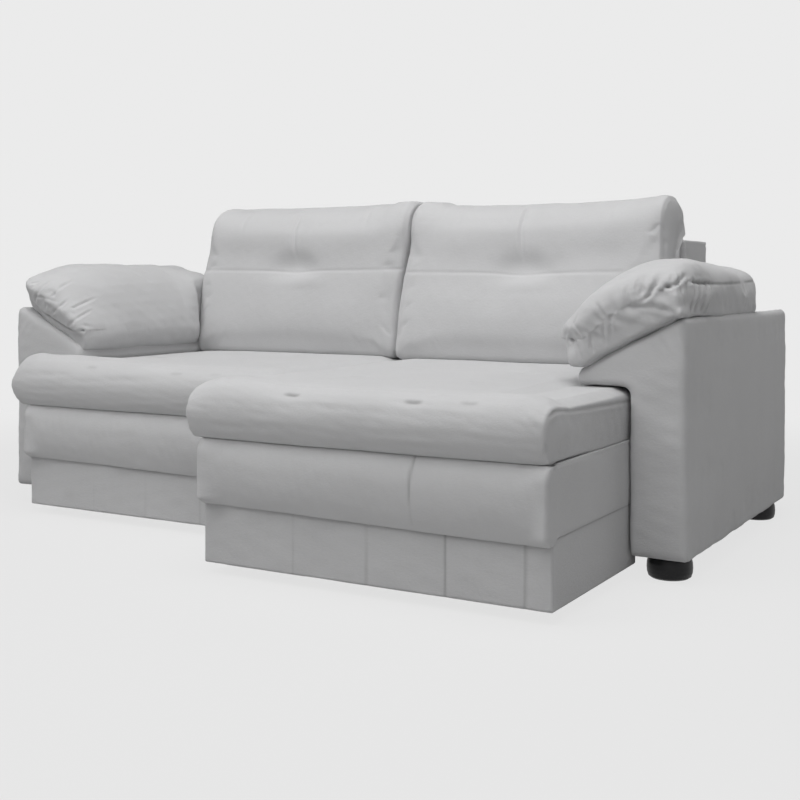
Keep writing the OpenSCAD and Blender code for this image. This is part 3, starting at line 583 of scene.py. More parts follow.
def wood_material(name, colour, stretch, rings):
    """Sawn wood or plywood with grain along one axis."""
    material, tree, shader = blank_material(name)
    place = tree.nodes.new("ShaderNodeTexCoord")
    long = stretched(tree, place.outputs["Object"], stretch)
    grain = noise_node(tree, long, 1.0, 6.0, 0.62)
    bands = math_node(tree, "FRACT", math_node(tree, "MULTIPLY", grain, rings))
    fine = noise_node(tree, stretched(tree, place.outputs["Object"], tuple(6 * s for s in stretch)), 1.0, 3.0)
    both = math_node(tree, "MULTIPLY", math_node(tree, "ADD", bands, fine), 0.5)
    tree.links.new(mixed(tree, both, shade(colour, 0.72), shade(colour, 1.18)), shader.inputs["Base Color"])
    tree.links.new(ranged(tree, fine, 0.55, 0.8), shader.inputs["Roughness"])
    bumped(tree, shader, [(both, 0.0005)])
    return material


def steel_material():
    """Zinc-plated, lightly brushed steel."""
    material, tree, shader = blank_material("zinc_steel")
    place = tree.nodes.new("ShaderNodeTexCoord")
    brushed = noise_node(tree, stretched(tree, place.outputs["Object"], (40.0, 400.0, 900.0)), 1.0, 3.0)
    tone = place_group(tree, mottle_group(), Scale=30.0)
    tree.links.new(mixed(tree, tone.outputs["Broad"], (0.44, 0.45, 0.47), (0.66, 0.67, 0.68)),
                   shader.inputs["Base Color"])
    tree.links.new(ranged(tree, brushed, 0.28, 0.5), shader.inputs["Roughness"])
    shader.inputs["Metallic"].default_value = 1.0
    bumped(tree, shader, [(brushed, 0.00008)])
    return material


def plastic_material(name, colour, low, high):
    """Moulded plastic or rubber with a fine texture and a little dust."""
    material, tree, shader = blank_material(name)
    tone = place_group(tree, mottle_group(), Scale=25.0)
    tree.links.new(mixed(tree, tone.outputs["Broad"], shade(colour, 0.8), shade(colour, 1.8)),
                   shader.inputs["Base Color"])
    tree.links.new(ranged(tree, tone.outputs["Fine"], low, high), shader.inputs["Roughness"])
    shader.inputs["Specular IOR Level"].default_value = 0.25
    bumped(tree, shader, [(tone.outputs["Fine"], 0.00012)])
    return material


def strap_material(name, dark, light, pitch):
    """Woven elastic straps or felt."""
    material, tree, shader = blank_material(name)
    weave = place_group(tree, weave_group(), Pitch=pitch)
    tone = place_group(tree, mottle_group(), Scale=14.0)
    mask = math_node(tree, "MULTIPLY", weave.outputs["Height"], tone.outputs["Broad"])
    tree.links.new(mixed(tree, mask, dark, light), shader.inputs["Base Color"])
    tree.links.new(ranged(tree, tone.outputs["Fine"], 0.75, 0.95), shader.inputs["Roughness"])
    bumped(tree, shader, [(weave.outputs["Height"], 0.0005), (tone.outputs["Fine"], 0.0004)])
    return material


def dress_nodes(material, *names):
    """Gives CAD nodes that stay a material."""
    for name in names:
        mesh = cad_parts[name].data
        mesh.materials.clear()
        mesh.materials.append(material)


# The sofa's soft pieces

# Where the arms' fronts stand
ARM_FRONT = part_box("right_arm_cover")[0].y

# How far each pad's front is tucked in under its top panel
TUCK = {"left": 0.050, "right": 0.004}

# Half of the least gap between the two seat cushions
HALF_GAP = 0.0004

# Gathers along a pad's seam from its nose: place along it, side, length, slant, width, depth
PLEATS = {
    "right": [
        (0.012, 1, 0.030, 0.3, 0.006, 0.0035), (0.045, -1, 0.045, -0.2, 0.006, 0.0045),
        (0.075, 1, 0.055, -0.5, 0.007, 0.0055), (0.105, 1, 0.050, -0.9, 0.006, 0.0050),
        (0.100, -1, 0.060, 0.25, 0.006, 0.0060), (0.128, -1, 0.040, -0.3, 0.005, 0.0040),
        (0.150, 1, 0.035, -0.4, 0.006, 0.0040), (0.160, -1, 0.060, 0.9, 0.007, 0.0060),
        (0.178, 1, 0.065, 0.25, 0.0065, 0.0070), (0.205, -1, 0.120, 1.1, 0.010, 0.0075),
        (0.215, 1, 0.040, 0.15, 0.0055, 0.0045), (0.248, 1, 0.062, 0.75, 0.0065, 0.0070),
        (0.262, 1, 0.045, 0.2, 0.0055, 0.0045), (0.292, 1, 0.045, 0.55, 0.007, 0.0070),
        (0.305, -1, 0.085, 0.05, 0.009, 0.0085), (0.318, 1, 0.035, -0.6, 0.006, 0.0055),
        (0.352, -1, 0.075, 0.1, 0.007, 0.0060), (0.392, -1, 0.065, -0.15, 0.007, 0.0058),
        (0.430, -1, 0.055, -0.2, 0.007, 0.0045), (0.395, 1, 0.030, 0.4, 0.006, 0.0030),
        (0.480, -1, 0.040, -0.2, 0.008, 0.0025),
    ],
    "left": [
        (0.020, 1, 0.045, -0.3, 0.006, 0.0045), (0.050, 1, 0.085, -0.5, 0.008, 0.0070),
        (0.085, 1, 0.040, -0.2, 0.006, 0.0040), (0.120, 1, 0.060, -0.55, 0.006, 0.0050),
        (0.140, 1, 0.095, -0.75, 0.0075, 0.0065), (0.168, 1, 0.050, -0.4, 0.006, 0.0045),
        (0.195, 1, 0.110, -0.7, 0.008, 0.0070), (0.222, 1, 0.055, -0.5, 0.006, 0.0045),
        (0.250, 1, 0.080, -0.6, 0.007, 0.0060), (0.280, 1, 0.050, -0.3, 0.007, 0.0050),
        (0.310, 1, 0.045, 0.3, 0.007, 0.0050), (0.060, -1, 0.050, 0.2, 0.006, 0.0045),
        (0.110, -1, 0.055, 0.3, 0.006, 0.0045), (0.180, -1, 0.060, 0.4, 0.007, 0.0055),
        (0.240, -1, 0.070, 0.3, 0.007, 0.0055), (0.300, -1, 0.070, 0.05, 0.008, 0.0060),
        (0.350, -1, 0.060, 0.1, 0.007, 0.0045),
    ],
}

# The main folds of each pad, as the right arm's: width, depth, then points from the seam outwards
FOLDS = {
    "right": [
        (0.0050, 0.0070, (1.07, -0.26, 0.70), (1.08, -0.245, 0.714), (1.085, -0.205, 0.733)),
        (0.0040, 0.0050, (1.076, -0.25, 0.708), (1.071, -0.235, 0.732)),
        (0.0050, 0.0070, (1.0, -0.277, 0.665), (1.017, -0.28, 0.68), (1.028, -0.27, 0.70),
         (1.032, -0.255, 0.725)),
        (0.0045, 0.0050, (0.965, -0.275, 0.656), (0.96, -0.282, 0.683), (0.963, -0.277, 0.705)),
        (0.0040, 0.0040, (0.985, -0.28, 0.69), (0.987, -0.268, 0.718)),
        (0.0090, 0.0070, (0.96, -0.275, 0.651), (1.03, -0.288, 0.647), (1.07, -0.28, 0.636),
         (1.085, -0.24, 0.625)),
        (0.0065, 0.0150, (1.085, -0.184, 0.71), (1.095, -0.19, 0.683), (1.093, -0.21, 0.65),
         (1.09, -0.225, 0.62)),
        (0.0065, 0.0150, (1.093, -0.102, 0.705), (1.10, -0.11, 0.68), (1.09, -0.12, 0.65),
         (1.086, -0.14, 0.62)),
        (0.0060, 0.0130, (1.099, -0.07, 0.704), (1.10, -0.082, 0.67), (1.092, -0.10, 0.64),
         (1.09, -0.12, 0.615)),
        (0.0060, 0.0120, (1.095, -0.14, 0.705), (1.098, -0.15, 0.68), (1.092, -0.17, 0.65),
         (1.09, -0.19, 0.62)),
        (0.0045, 0.0045, (0.905, -0.281, 0.615), (0.902, -0.28, 0.585), (0.907, -0.277, 0.55)),
        (0.0040, 0.0035, (0.918, -0.283, 0.622), (0.924, -0.281, 0.588)),
        (0.0050, 0.0045, (0.912, -0.284, 0.622), (0.897, -0.29, 0.645), (0.88, -0.285, 0.67)),
        (0.0045, 0.0040, (0.855, -0.278, 0.577), (0.83, -0.278, 0.607), (0.84, -0.28, 0.64)),
        (0.0040, 0.0035, (0.835, -0.27, 0.566), (0.838, -0.27, 0.54), (0.845, -0.265, 0.52)),
        (0.0040, 0.0035, (0.87, -0.275, 0.585), (0.872, -0.275, 0.555), (0.878, -0.27, 0.53)),
    ],
    "left": [
        (0.0050, 0.0050, (1.01, -0.255, 0.65), (0.985, -0.28, 0.675), (0.965, -0.265, 0.705),
         (0.95, -0.235, 0.722)),
        (0.0050, 0.0055, (0.96, -0.27, 0.625), (0.92, -0.276, 0.67), (0.91, -0.246, 0.697),
         (0.905, -0.20, 0.712)),
        (0.0045, 0.0035, (1.0, -0.275, 0.66), (0.965, -0.281, 0.657), (0.89, -0.281, 0.645)),
        (0.0050, 0.0050, (0.90, -0.275, 0.595), (0.85, -0.255, 0.626), (0.845, -0.21, 0.643),
         (0.847, -0.15, 0.66)),
        (0.0045, 0.0045, (0.87, -0.27, 0.56), (0.84, -0.277, 0.582), (0.825, -0.24, 0.607),
         (0.827, -0.19, 0.625)),
        (0.0060, 0.0040, (0.85, -0.265, 0.555), (0.817, -0.245, 0.568), (0.80, -0.215, 0.565)),
        (0.0045, 0.0040, (1.045, -0.25, 0.675), (1.02, -0.273, 0.707), (0.99, -0.262, 0.722)),
        (0.0045, 0.0040, (0.935, -0.275, 0.605), (0.885, -0.28, 0.635), (0.87, -0.24, 0.665)),
    ],
}

# Tufts of a seat cushion, from its left front corner: x, y, depth as a share
TUFTS = ((0.306, 0.026, 1), (0.630, 0.024, 1), (0.766, 0.028, 0.5), (0.28, 0.36, 0.6), (0.617, 0.36, 0.6),
         (0.28, 0.66, 0.6), (0.617, 0.66, 0.6))


def mirrored(piece, side):
    """Turns a right-hand piece into its left-hand twin where side is left."""
    if SIDES[side] < 0:
        co = places(piece)
        co[:, 0] *= -1
        piece.data.flip_normals()
        move_to(piece, co)


def arm_outline(side):
    """Section of an arm as (x, z), with soft corners."""
    low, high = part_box("right_arm_cover")
    s = sizes()
    tip = low.x - {"left": 0.022, "right": 0.021}[side]
    tip_top = s.ear_tip - 0.004 + {"left": 0.008, "right": 0.0}[side]
    inner = s.arm_inner - 0.003
    corners = [(high.x, low.z), (high.x, s.arm_shoulder), (tip, tip_top), (tip, s.ear_under),
               (inner, s.ear_under), (inner, low.z)]
    return softened(corners, [0.007, 0.034, 0.024, 0.018, 0.022, 0.007])


def build_arm(side):
    """An upholstered arm with soft edges, a slightly padded front and side, and a rear that leans."""
    edge_radius = 0.019
    skin = 0.0008
    rear_lean = 0.014
    side_puff = 0.004
    front_puff = 0.005
    low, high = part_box("right_arm_cover")
    outline = arm_outline(side)
    turns = np.linspace(math.pi / 2, 0, 7)
    rounded = [(edge_radius * (1 - math.sin(t)), edge_radius * (1 - math.cos(t))) for t in turns]
    stations = [(low.y + along, inset) for along, inset in rounded]
    stations += [(y, 0.0) for y in np.linspace(low.y + 0.06, high.y - 0.06, 12)]
    stations += [(high.y - along, inset) for along, inset in reversed(rounded)]
    rings = [[(x, y, z) for x, z in drawn_in(outline, inset + skin)] for y, inset in stations]
    s = sizes()
    hub = (s.arm_inner + 0.05, s.ear_under + 0.02)
    piece = loft(f"{side}_arm", rings, [(hub[0], y, hub[1]) for y in (low.y, high.y)])
    remesh(piece, FINE, 3)
    co = places(piece)
    co[:, 1] += rear_lean * np.clip(co[:, 2] / high.z, 0, 1) * step_up(co[:, 1], 0.2, high.y)
    move_to(piece, co)
    no = normals(piece)
    x, y, z = co.T
    # Padding, then a slight unevenness, the front seam and small creases at the shoulder
    flat_side = bump(y, (low.y + high.y) / 2, 0.56) * bump(z, 0.34, 0.33)
    amount = side_puff * flat_side * np.clip(no[:, 0], 0, 1)
    amount += front_puff * np.clip(-no[:, 1], 0, 1) * bump(z, 0.36, 0.36) * bump(x, 1.02, 0.12)
    amount += 0.0012 * ripple(co, 0.22, 3 + SIDES[side]) + 0.0004 * ripple(co, 0.05, 9)
    edge = [(high.x - 0.004, low.y + 0.017, low.z), (high.x - 0.005, low.y + 0.014, high.z - 0.04)]
    amount += seam(co, edge, width=0.003, depth=0.0011)
    corner = np.array([high.x - 0.05, low.y, high.z - 0.03])
    for dx, dz, drop in ((0.0, 0.0, 0.05), (0.014, 0.006, 0.07), (-0.018, -0.012, 0.04)):
        start = corner + (dx, 0, dz)
        amount += crease(co, [start, start + (0.026, 0, -drop)], 0.006, 0.002)
    push(piece, amount)
    hold_in(piece, (low.x - 0.026, low.y - 0.005, low.z), (high.x, high.y + rear_lean, high.z + 0.004))
    mirrored(piece, side)
    settle(piece, f"{side}_arm_cover", "frame")


def pad_section(side):
    """Section of a pad as (x, z), from its outer foot over its crown to its nose, and the arm's slope."""
    low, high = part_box("right_arm_pad")
    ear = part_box("right_arm_cover")[0]
    s = sizes()
    slope = (s.arm_shoulder - s.ear_tip) / (high.x - ear.x)
    wide, tall = high.x - low.x, high.z - s.ear_tip
    shares = [(0.955, 0.50), (0.995, 0.62), (1.0, 0.76), (0.955, 0.89), (0.82, 0.965), (0.62, 0.97)]
    shares += {
        "left": [(0.43, 0.885), (0.27, 0.73), (0.15, 0.52), (0.07, 0.31), (0.035, 0.15), (0.05, 0.03),
                 (0.10, -0.035)],
        "right": [(0.39, 0.875), (0.19, 0.70), (0.045, 0.47), (-0.015, 0.28), (0.02, 0.11), (0.09, -0.02)],
    }[side]
    points = [(low.x + wide * a, s.ear_tip + tall * b) for a, b in shares]
    points.append((ear.x - 0.008, s.ear_tip - 0.014))
    for share in (0.10, 0.30, 0.54, 0.78, 0.93):
        x = ear.x + (high.x - ear.x) * share
        points.append((x, s.ear_tip + (x - ear.x) * slope - 0.001))
    if side == "right":
        points.append((high.x - 0.002, s.arm_shoulder - 0.013))
        points.append((high.x - 0.001, s.arm_shoulder + 0.008))
    return closed_curve(points, 130), slope


def pad_stations(length, face):
    """Places from a pad's front to its rear, and how far its section shrinks there."""
    front = [(0.0, 0.070), (0.003, 0.050), (0.010, 0.034), (0.022, 0.020), (0.040, 0.009), (0.066, 0.002)]
    back = [(0.0, 0.085), (0.006, 0.062), (0.018, 0.042), (0.036, 0.026), (0.062, 0.013), (0.085, 0.005)]
    belly = 0.004
    stations = list(front)
    stations += [(y, -belly * math.sin(math.pi * y / length)) for y in np.linspace(0.10, length - 0.10, 15)]
    stations += [(length - a, b) for a, b in reversed(back)]
    stations += [(face + step, 0.0) for step in (-0.024, -0.016, -0.009, -0.002, 0.006)]
    return sorted(stations)


def pad_rings(side):
    """Sections of a pad that lies on its arm, yields to its back cushion and falls towards its front."""
    low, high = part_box("right_arm_pad")
    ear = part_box("right_arm_cover")[0]
    tip = sizes().ear_tip
    section, slope = pad_section(side)
    wide, tall, length = high.x - low.x, high.z - tip, high.y - low.y
    core = np.array([low.x + 0.56 * wide, tip + 0.56 * tall])
    above = section[:, 1] - (tip + (section[:, 0] - ear.x) * slope)
    loose = step_up(above, 0.0, 0.09)
    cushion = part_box(f"{side}_back_cushion")
    face = cushion[0].y + 0.006
    beside = max(abs(cushion[0].x), abs(cushion[1].x)) + 0.004
    front_fall = {"left": 0.036, "right": 0.028}[side]
    away = section - core
    r = np.linalg.norm(away, axis=1)
    rings = []
    for along, shrink in pad_stations(length, face - low.y):
        y = low.y + along
        # The section shrinks towards both ends, but hardly where it lies on the arm
        hold = 0.06 if along < length / 2 else 0.12
        x, z = (core + away * ((r - shrink * (hold + (1 - hold) * loose)) / r)[:, None]).T
        # Beside the back cushion the pad ends at the cushion's side
        x = np.maximum(x, low.x - 0.03 + (beside - low.x + 0.03) * step_up(y, face - 0.022, face))
        # Its underside follows the arm and hangs a little over the arm's tip
        floor = tip + (np.maximum(x, ear.x) - ear.x) * slope - 0.001
        fall = front_fall * step_down(along, 0.0, 0.19)
        hang = 0.017
        end = step_down(along, 0.0, 0.15)
        if side == "right":
            drop = 0.016 * step_down(along, length - 0.12, length - 0.03)
            floor = floor - drop * step_up(x, high.x - 0.040, high.x - 0.006)
            fall += 0.011 * step_up(along, length - 0.44, length - 0.24)
            fall += 0.022 * step_up(along, length - 0.14, length)
            hang *= step_up(along, 0.05, 0.16)
            end = step_up(along, length - 0.12, length)
        floor = floor - hang * step_down(x, ear.x - 0.006, ear.x + 0.004)
        z = np.maximum(z, floor)
        height = z - floor
        z = z - fall * step_up(height, 0.06, 0.16)
        # The back cushion squeezes the left pad upwards
        if side == "left":
            squeeze = 0.050 * step_up(y, face - 0.09, face + 0.01)
            z = z + squeeze * np.clip(1 - (x - beside) / 0.13, 0, 1) ** 2 * step_up(height, 0.07, 0.15)
        # The front is tucked in below the top panel, and the rear leans forward
        under = step_down(along, 0.0, 0.22) * step_down(height, 0.0, 0.12)
        back_lean = 0.055 * step_up(along, length - 0.10, length) * step_up(height, 0.02, 0.13)
        x = x - 0.012 * end * step_up(x, high.x - 0.06, high.x - 0.01)
        pull = TUCK[side] * (0.72 + 0.28 * step_up(x, 0.95, 1.07))
        rings.append(np.column_stack([x, y + pull * under - back_lean, z]))
    return rings


def pad_seam(side):
    """Path of the seam that runs round a pad's front and along its outer side."""
    low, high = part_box("right_arm_pad")
    across = [(0.775, 0.572), (0.81, 0.568), (0.842, 0.569), (0.870, 0.585), (0.91, 0.624), (0.962, 0.653),
              (0.991, 0.666), (1.028, 0.686), (1.066, 0.703)]
    if side == "left":
        across = [(x, z - 0.012 - 0.040 * step_up(x, 0.84, 0.92)) for x, z in across]
    path = [(x, low.y + 0.010 + 0.35 * TUCK[side], z) for x, z in across]
    path += [(1.090, low.y + 0.022, 0.710), (1.097, low.y + 0.055, 0.712)]
    path += [(1.098, ARM_FRONT + along, z) for along, z in ((0.161, 0.707), (0.295, 0.704), (0.439, 0.706))]
    path += [(1.094, high.y - 0.09, 0.713), (1.07, high.y - 0.03, 0.72)]
    return path


def small_pleats(seed):
    """Short, fine gathers on both sides of the seam round the pad's front."""
    rng = np.random.default_rng(seed)
    return [(rng.uniform(0.0, 0.42), rng.choice((-1, 1)), rng.uniform(0.012, 0.03), rng.uniform(-0.5, 0.5),
             rng.uniform(0.0035, 0.005), rng.uniform(0.0015, 0.003)) for _ in range(34)]


def build_pad(side):
    """A puffy arm pad: its top panel bulges over the seam that gathers it round the front."""
    gather = {"left": 0.25, "right": 1.0}[side]
    fold_share = {"left": 0.5, "right": 0.62}[side]
    stitch = 0.0036
    piece = loft(f"{side}_arm_pillow", pad_rings(side))
    remesh(piece, FINE, 7)
    stuffed(piece, sizes().swell)
    refine(piece)
    co = places(piece)
    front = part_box("right_arm_pad")[0].y
    d, run, foot = along_path(co, pad_seam(side))
    up = (co - foot) @ np.array([-0.42, 0.0, 0.9])
    v = d * np.sign(up)
    front_side = step_down(co[:, 1], front + 0.14, front + 0.30)
    # Gathers and folds that start at the seam
    amount = 0.40 * gather * pleats(run, v, d < 0.2, PLEATS[side], 5)
    amount += 0.45 * gather * pleats(run, v, d < 0.2, small_pleats(7 + SIDES[side]), 6)
    for width, depth, *points in FOLDS[side]:
        path = [co[np.argmin(((co - np.array(p)) ** 2).sum(axis=1))] for p in points]
        amount += crease(co, path, 0.85 * width, fold_share * depth, start=0.1, lip=0.5)
    # The cloth sinks towards the seam, and the thread cuts into it
    amount -= 0.0060 * gather * bell(d, 0.016) * (0.1 + 0.9 * front_side)
    furrow = 0.5 * front_side * bell(d - 0.009, 0.006) - bell(d, stitch)
    amount += (0.0018 + 0.0028 * front_side) * furrow
    # The top panel bulges in front, and the whole pad is slightly uneven
    amount += 0.009 * gather * front_side * bump(v, 0.05, 0.05)
    amount += 0.0018 * ripple(co, 0.15, 21 + SIDES[side], (1, 1.2, 1)) + 0.0005 * ripple(co, 0.04, 8)
    push(piece, amount)
    # Painted shade in the seam's groove and in the deepest folds and gathers
    paint_shade(piece, 1.3 * bell(d, stitch) + 70 * gather * np.clip(-amount - 0.003, 0, 0.01))
    mirrored(piece, side)
    settle(piece, f"{side}_arm_pad", "frame")


def back_profile(count, channel):
    """Side view of a back cushion as (y, z) shares, with its channel at a share of its height."""
    c = channel
    shares = [(0.80, 0.0), (0.45, 0.0), (0.15, 0.0), (0.035, 0.010), (-0.005, 0.06), (0.01, 0.17),
              (0.05, 0.32), (0.092, c - 0.09), (0.119, c - 0.022), (0.131, c), (0.145, c + 0.04),
              (0.178, c + 0.13), (0.225, 0.83), (0.33, 0.935), (0.53, 0.995), (0.84, 1.0), (1.13, 0.93),
              (1.16, 0.80), (0.895, 0.72), (0.895, 0.40), (0.895, 0.10)]
    return closed_curve(shares, count)


def back_sizes(side):
    """A back cushion's corners and sizes, from its own box, its left twin's and the back frame's."""
    low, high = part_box(f"{side}_back_cushion")
    foot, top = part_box("left_back_cushion")
    frame_low, frame_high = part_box("back_cover")
    return SimpleNamespace(
        low=low, high=high, foot_z=foot.z, frame_y=frame_low.y, wide=high.x - low.x,
        tall=top.z - foot.z + {"left": 0.004, "right": -0.006}[side], deep=top.y - foot.y,
        thick=frame_low.y - foot.y, rest=frame_high.z - foot.z + 0.003,
        channel={"left": 0.555, "right": 0.505}[side], slump={"left": 0.0, "right": 0.052}[side],
        outer={"left": -1, "right": 1}[side], outer_lean={"left": 0.034, "right": 0.003}[side])


def back_rings(side):
    """Sections of a back cushion across its width: swells, tuft, droop, and a rear that meets the frame."""
    own = back_sizes(side)
    end_inset = 0.022
    overhang = 0.085
    droop = {"left": 0.013, "right": 0.022}[side]
    sag = {"left": 0.006, "right": 0.030}[side]
    narrowing = {"left": 0.012, "right": 0.010}[side]
    a, b = back_profile(120, own.channel).T
    front = np.clip(1 - 2 * a, 0, 1)
    ends = np.array([0.0, 0.002, 0.006, 0.013, 0.024])
    rings = []
    for x in np.concatenate([ends, np.linspace(0.045, own.wide - 0.045, 24), own.wide - ends[::-1]]):
        s = 2 * x / own.wide - 1
        outward = s * own.outer
        calm = 1 - s**4
        shrink = end_inset * max(0.0, 1 - min(x, own.wide - x) / ends[-1]) ** 2
        puff = calm * (0.010 * bump(b, own.channel / 2, 0.28) + 0.007 * bump(b, own.channel + 0.24, 0.2))
        tuft = 0.013 * bump(x, own.wide / 2, 0.20) * bump(b, own.channel + 0.02, 0.13)
        y = own.deep * a + front * (tuft - puff)
        z = own.tall * b - (droop * calm - 0.010 * (outward < -0.8)) * np.clip(2 * b - 1, 0, 1)
        y = own.deep / 2 + (y - own.deep / 2) * (1 - shrink / (own.deep / 2))
        z = own.tall / 2 + (z - own.tall / 2) * (1 - shrink / (own.tall / 2))
        wrap = 0.040 * max(0.0, s) ** 6 if side == "right" else 0.0
        over_frame = overhang * step_up(z, own.rest - 0.004, own.rest + 0.022)
        y = np.minimum(y, own.thick + np.maximum(wrap, over_frame))
        z = z - sag * step_down(b, 0.0, 0.22)
        lean = (own.outer_lean if outward > 0 else 0.002) * step_up(b, 0.42, 1.05) * np.abs(s) ** 6
        at = x - np.sign(s) * lean
        at = at - narrowing * step_down(b, 0.3, 0.8) * np.clip(-outward, 0, 1) ** 6
        if side == "right" and s > 0:
            flare = 0.018 * np.clip(a, 0, 1) * step_up(b, 0.5, 0.6) * step_down(b, 0.72, 0.90)
            at = at + s**8 * (0.007 * step_up(b, 0.45, 0.65) + flare)
        rings.append(np.column_stack([at + 0 * y, y, np.minimum(z, own.tall)]))
    return rings


def build_back_cushion(side):
    """A loose back cushion: two swells, a sewn channel between them and a deep tuft in its middle."""
    own = back_sizes(side)
    piece = loft(f"{side}_back_pillow", back_rings(side))
    remesh(piece, MIDDLE, 3)
    stuffed(piece, sizes().swell + 0.001)
    refine(piece)
    co = places(piece)
    x, y, z = co.T
    front = np.clip(-normals(piece)[:, 1] * 1.6, 0, 1)
    channel_z = own.channel * own.tall
    middle = own.wide * 0.495
    above = z - channel_z
    flat = co * (1, 0, 1)
    line = [(0.012, 0, channel_z + 0.003), (own.wide * 0.3, 0, channel_z), (middle, 0, channel_z - 0.006),
            (own.wide * 0.7, 0, channel_z), (own.wide - 0.012, 0, channel_z + 0.003)]
    d, _, _ = along_path(flat, line)
    # The channel, and the cloth that swells below it
    amount = -front * 0.0013 * bell(d, 0.0045)
    amount += front * 0.0012 * step_up(-above, -0.002, 0.012) * step_down(-above, 0.02, 0.10)
    # The tuft's dimple, the upright crease above it and two faint wrinkles
    triangle = bump(above, 0.018, 0.075) * bump(x, middle, 0.12 - 0.6 * np.clip(above, 0, 0.08))
    amount -= front * 0.0095 * triangle
    amount += front * 0.004 * bump(above, -0.03, 0.04) * bump(x, middle + 0.05, 0.11)
    tall_line = [(middle - 0.024, 0, own.tall - 0.03), (middle - 0.018, 0, own.tall * 0.84),
                 (middle - 0.010, 0, own.tall * 0.7), (middle, 0, channel_z + 0.02)]
    amount += front * crease(flat, tall_line, 0.006, 0.0045, lip=0.2)
    amount -= front * 0.006 * bump(x, middle, 0.055) * bump(z, own.tall * 0.78, 0.15)
    for at, height in ((middle + 0.26, own.tall * 0.87), (middle - 0.24, own.tall * 0.88)):
        wrinkle = [(at - 0.006, 0, height + 0.05), (at + 0.006, 0, height - 0.05)]
        amount += front * crease(flat, wrinkle, 0.008, 0.0016)
    amount += 0.0013 * ripple(co, 0.20, 31 + SIDES[side], (1, 0.6, 1.2))
    amount += 0.00015 * ripple(co, 0.045, 33 + SIDES[side])
    # The raised seams along both ends
    rim = np.zeros(len(co))
    for sign in (-1, 1):
        lean = (own.outer_lean if sign == own.outer else 0.002) * step_up(z / own.tall, 0.42, 1.05)
        end = (0.004 + lean) if sign < 0 else (own.wide - 0.004 - lean)
        rim = np.maximum(rim, bell(x - end, 0.0035) * (y < 0.8 * own.deep))
    amount += 0.0020 * rim
    push(piece, amount)
    # Painted shade along the channel
    paint_shade(piece, 0.18 * front * bell(above, 0.004))
    # Leans the cushion on the back frame's upper front edge
    turned = places(piece) - (0, own.thick, own.rest)
    lean = -math.asin(own.slump / own.tall)
    c, s = math.cos(lean), math.sin(lean)
    turned = turned @ np.array([[1, 0, 0], [0, c, s], [0, -s, c]])
    move_to(piece, turned + (own.low.x, own.frame_y - 0.001, own.foot_z + own.rest))
    hold_in(piece, (-2, own.low.y - 0.03, own.foot_z - 0.002), (2, 2, own.high.z + 0.012))
    settle(piece, f"{side}_back_cushion", "frame")


def seat_profile(count):
    """Side view of a seat cushion as (y, z) shares: a full rounded nose and a squarer rear."""
    shares = [(1, 0.06), (0.85, 0), (0.65, 0), (0.45, 0), (0.25, 0), (0.085, -0.01), (0.040, -0.05),
              (0.018, 0.0), (0.003, 0.20), (-0.003, 0.46), (0.001, 0.67), (0.011, 0.85), (0.030, 0.965),
              (0.058, 1.015), (0.10, 1.015), (0.2, 1), (0.34, 1), (0.5, 1), (0.66, 1), (0.82, 1),
              (0.97, 0.99), (1, 0.85), (1, 0.40)]
    return closed_curve(shares, count)


def seat_cushion_mesh():
    """The seat cushion's mesh, with its left front foot corner at the origin."""
    low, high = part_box("left_seat_cushion")
    wide, deep, tall = high - low
    edge = 0.0015
    full_inset = 0.050
    a, b = seat_profile(170).T
    b = np.clip(b, -0.06, 1.05)
    nose = step_down(a, 0.07, 0.15)
    ends = [(edge, full_inset), (edge, 0.030), (edge, 0.014), (edge, 0.005), (edge + 0.001, 0.0015),
            (edge + 0.004, 0)]
    stations = ends + [(x, 0.0) for x in np.linspace(0.03, wide - 0.03, 26)]
    stations += [(wide - x, shrink) for x, shrink in reversed(ends)]
    rings = []
    for x, shrink in stations:
        s = 2 * x / wide - 1
        end = min(x, wide - x)
        dip = 0.016 * step_down(end, 0.0, 0.055)
        drop = dip * (1 - 0.5 * nose * (s < 0)) - 0.010 * nose * step_up(-s, 0.3, 0.9)
        z = b * (tall - drop * step_up(b, 0.3, 1.0))
        y = deep * a + 0.006 * step_down(end, 0.0, 0.05) * (1 - np.clip(a / 0.083, 0, 1))
        y = deep / 2 + (y - deep / 2) * (1 - shrink / (deep / 2))
        z = tall / 2 + (z - tall / 2) * (1 - shrink / (tall / 2))
        z -= 0.014 * step_up(a, 0.05, 0.35) * step_down(end, 0.006, 0.02) * step_down(b, 0.0, 0.35)
        bulge = np.where(nose > 0.5, 0.009, 0.003) if s < 0 else 0.0025
        at = x + np.sign(s) * bulge * shrink / full_inset
        rings.append(np.column_stack([at + np.zeros(len(y)), y, z]))
    piece = loft("seat_pillow", rings)
    remesh(piece, BROAD, 3)
    stuffed(piece, sizes().swell)
    refine(piece)
    return piece.data


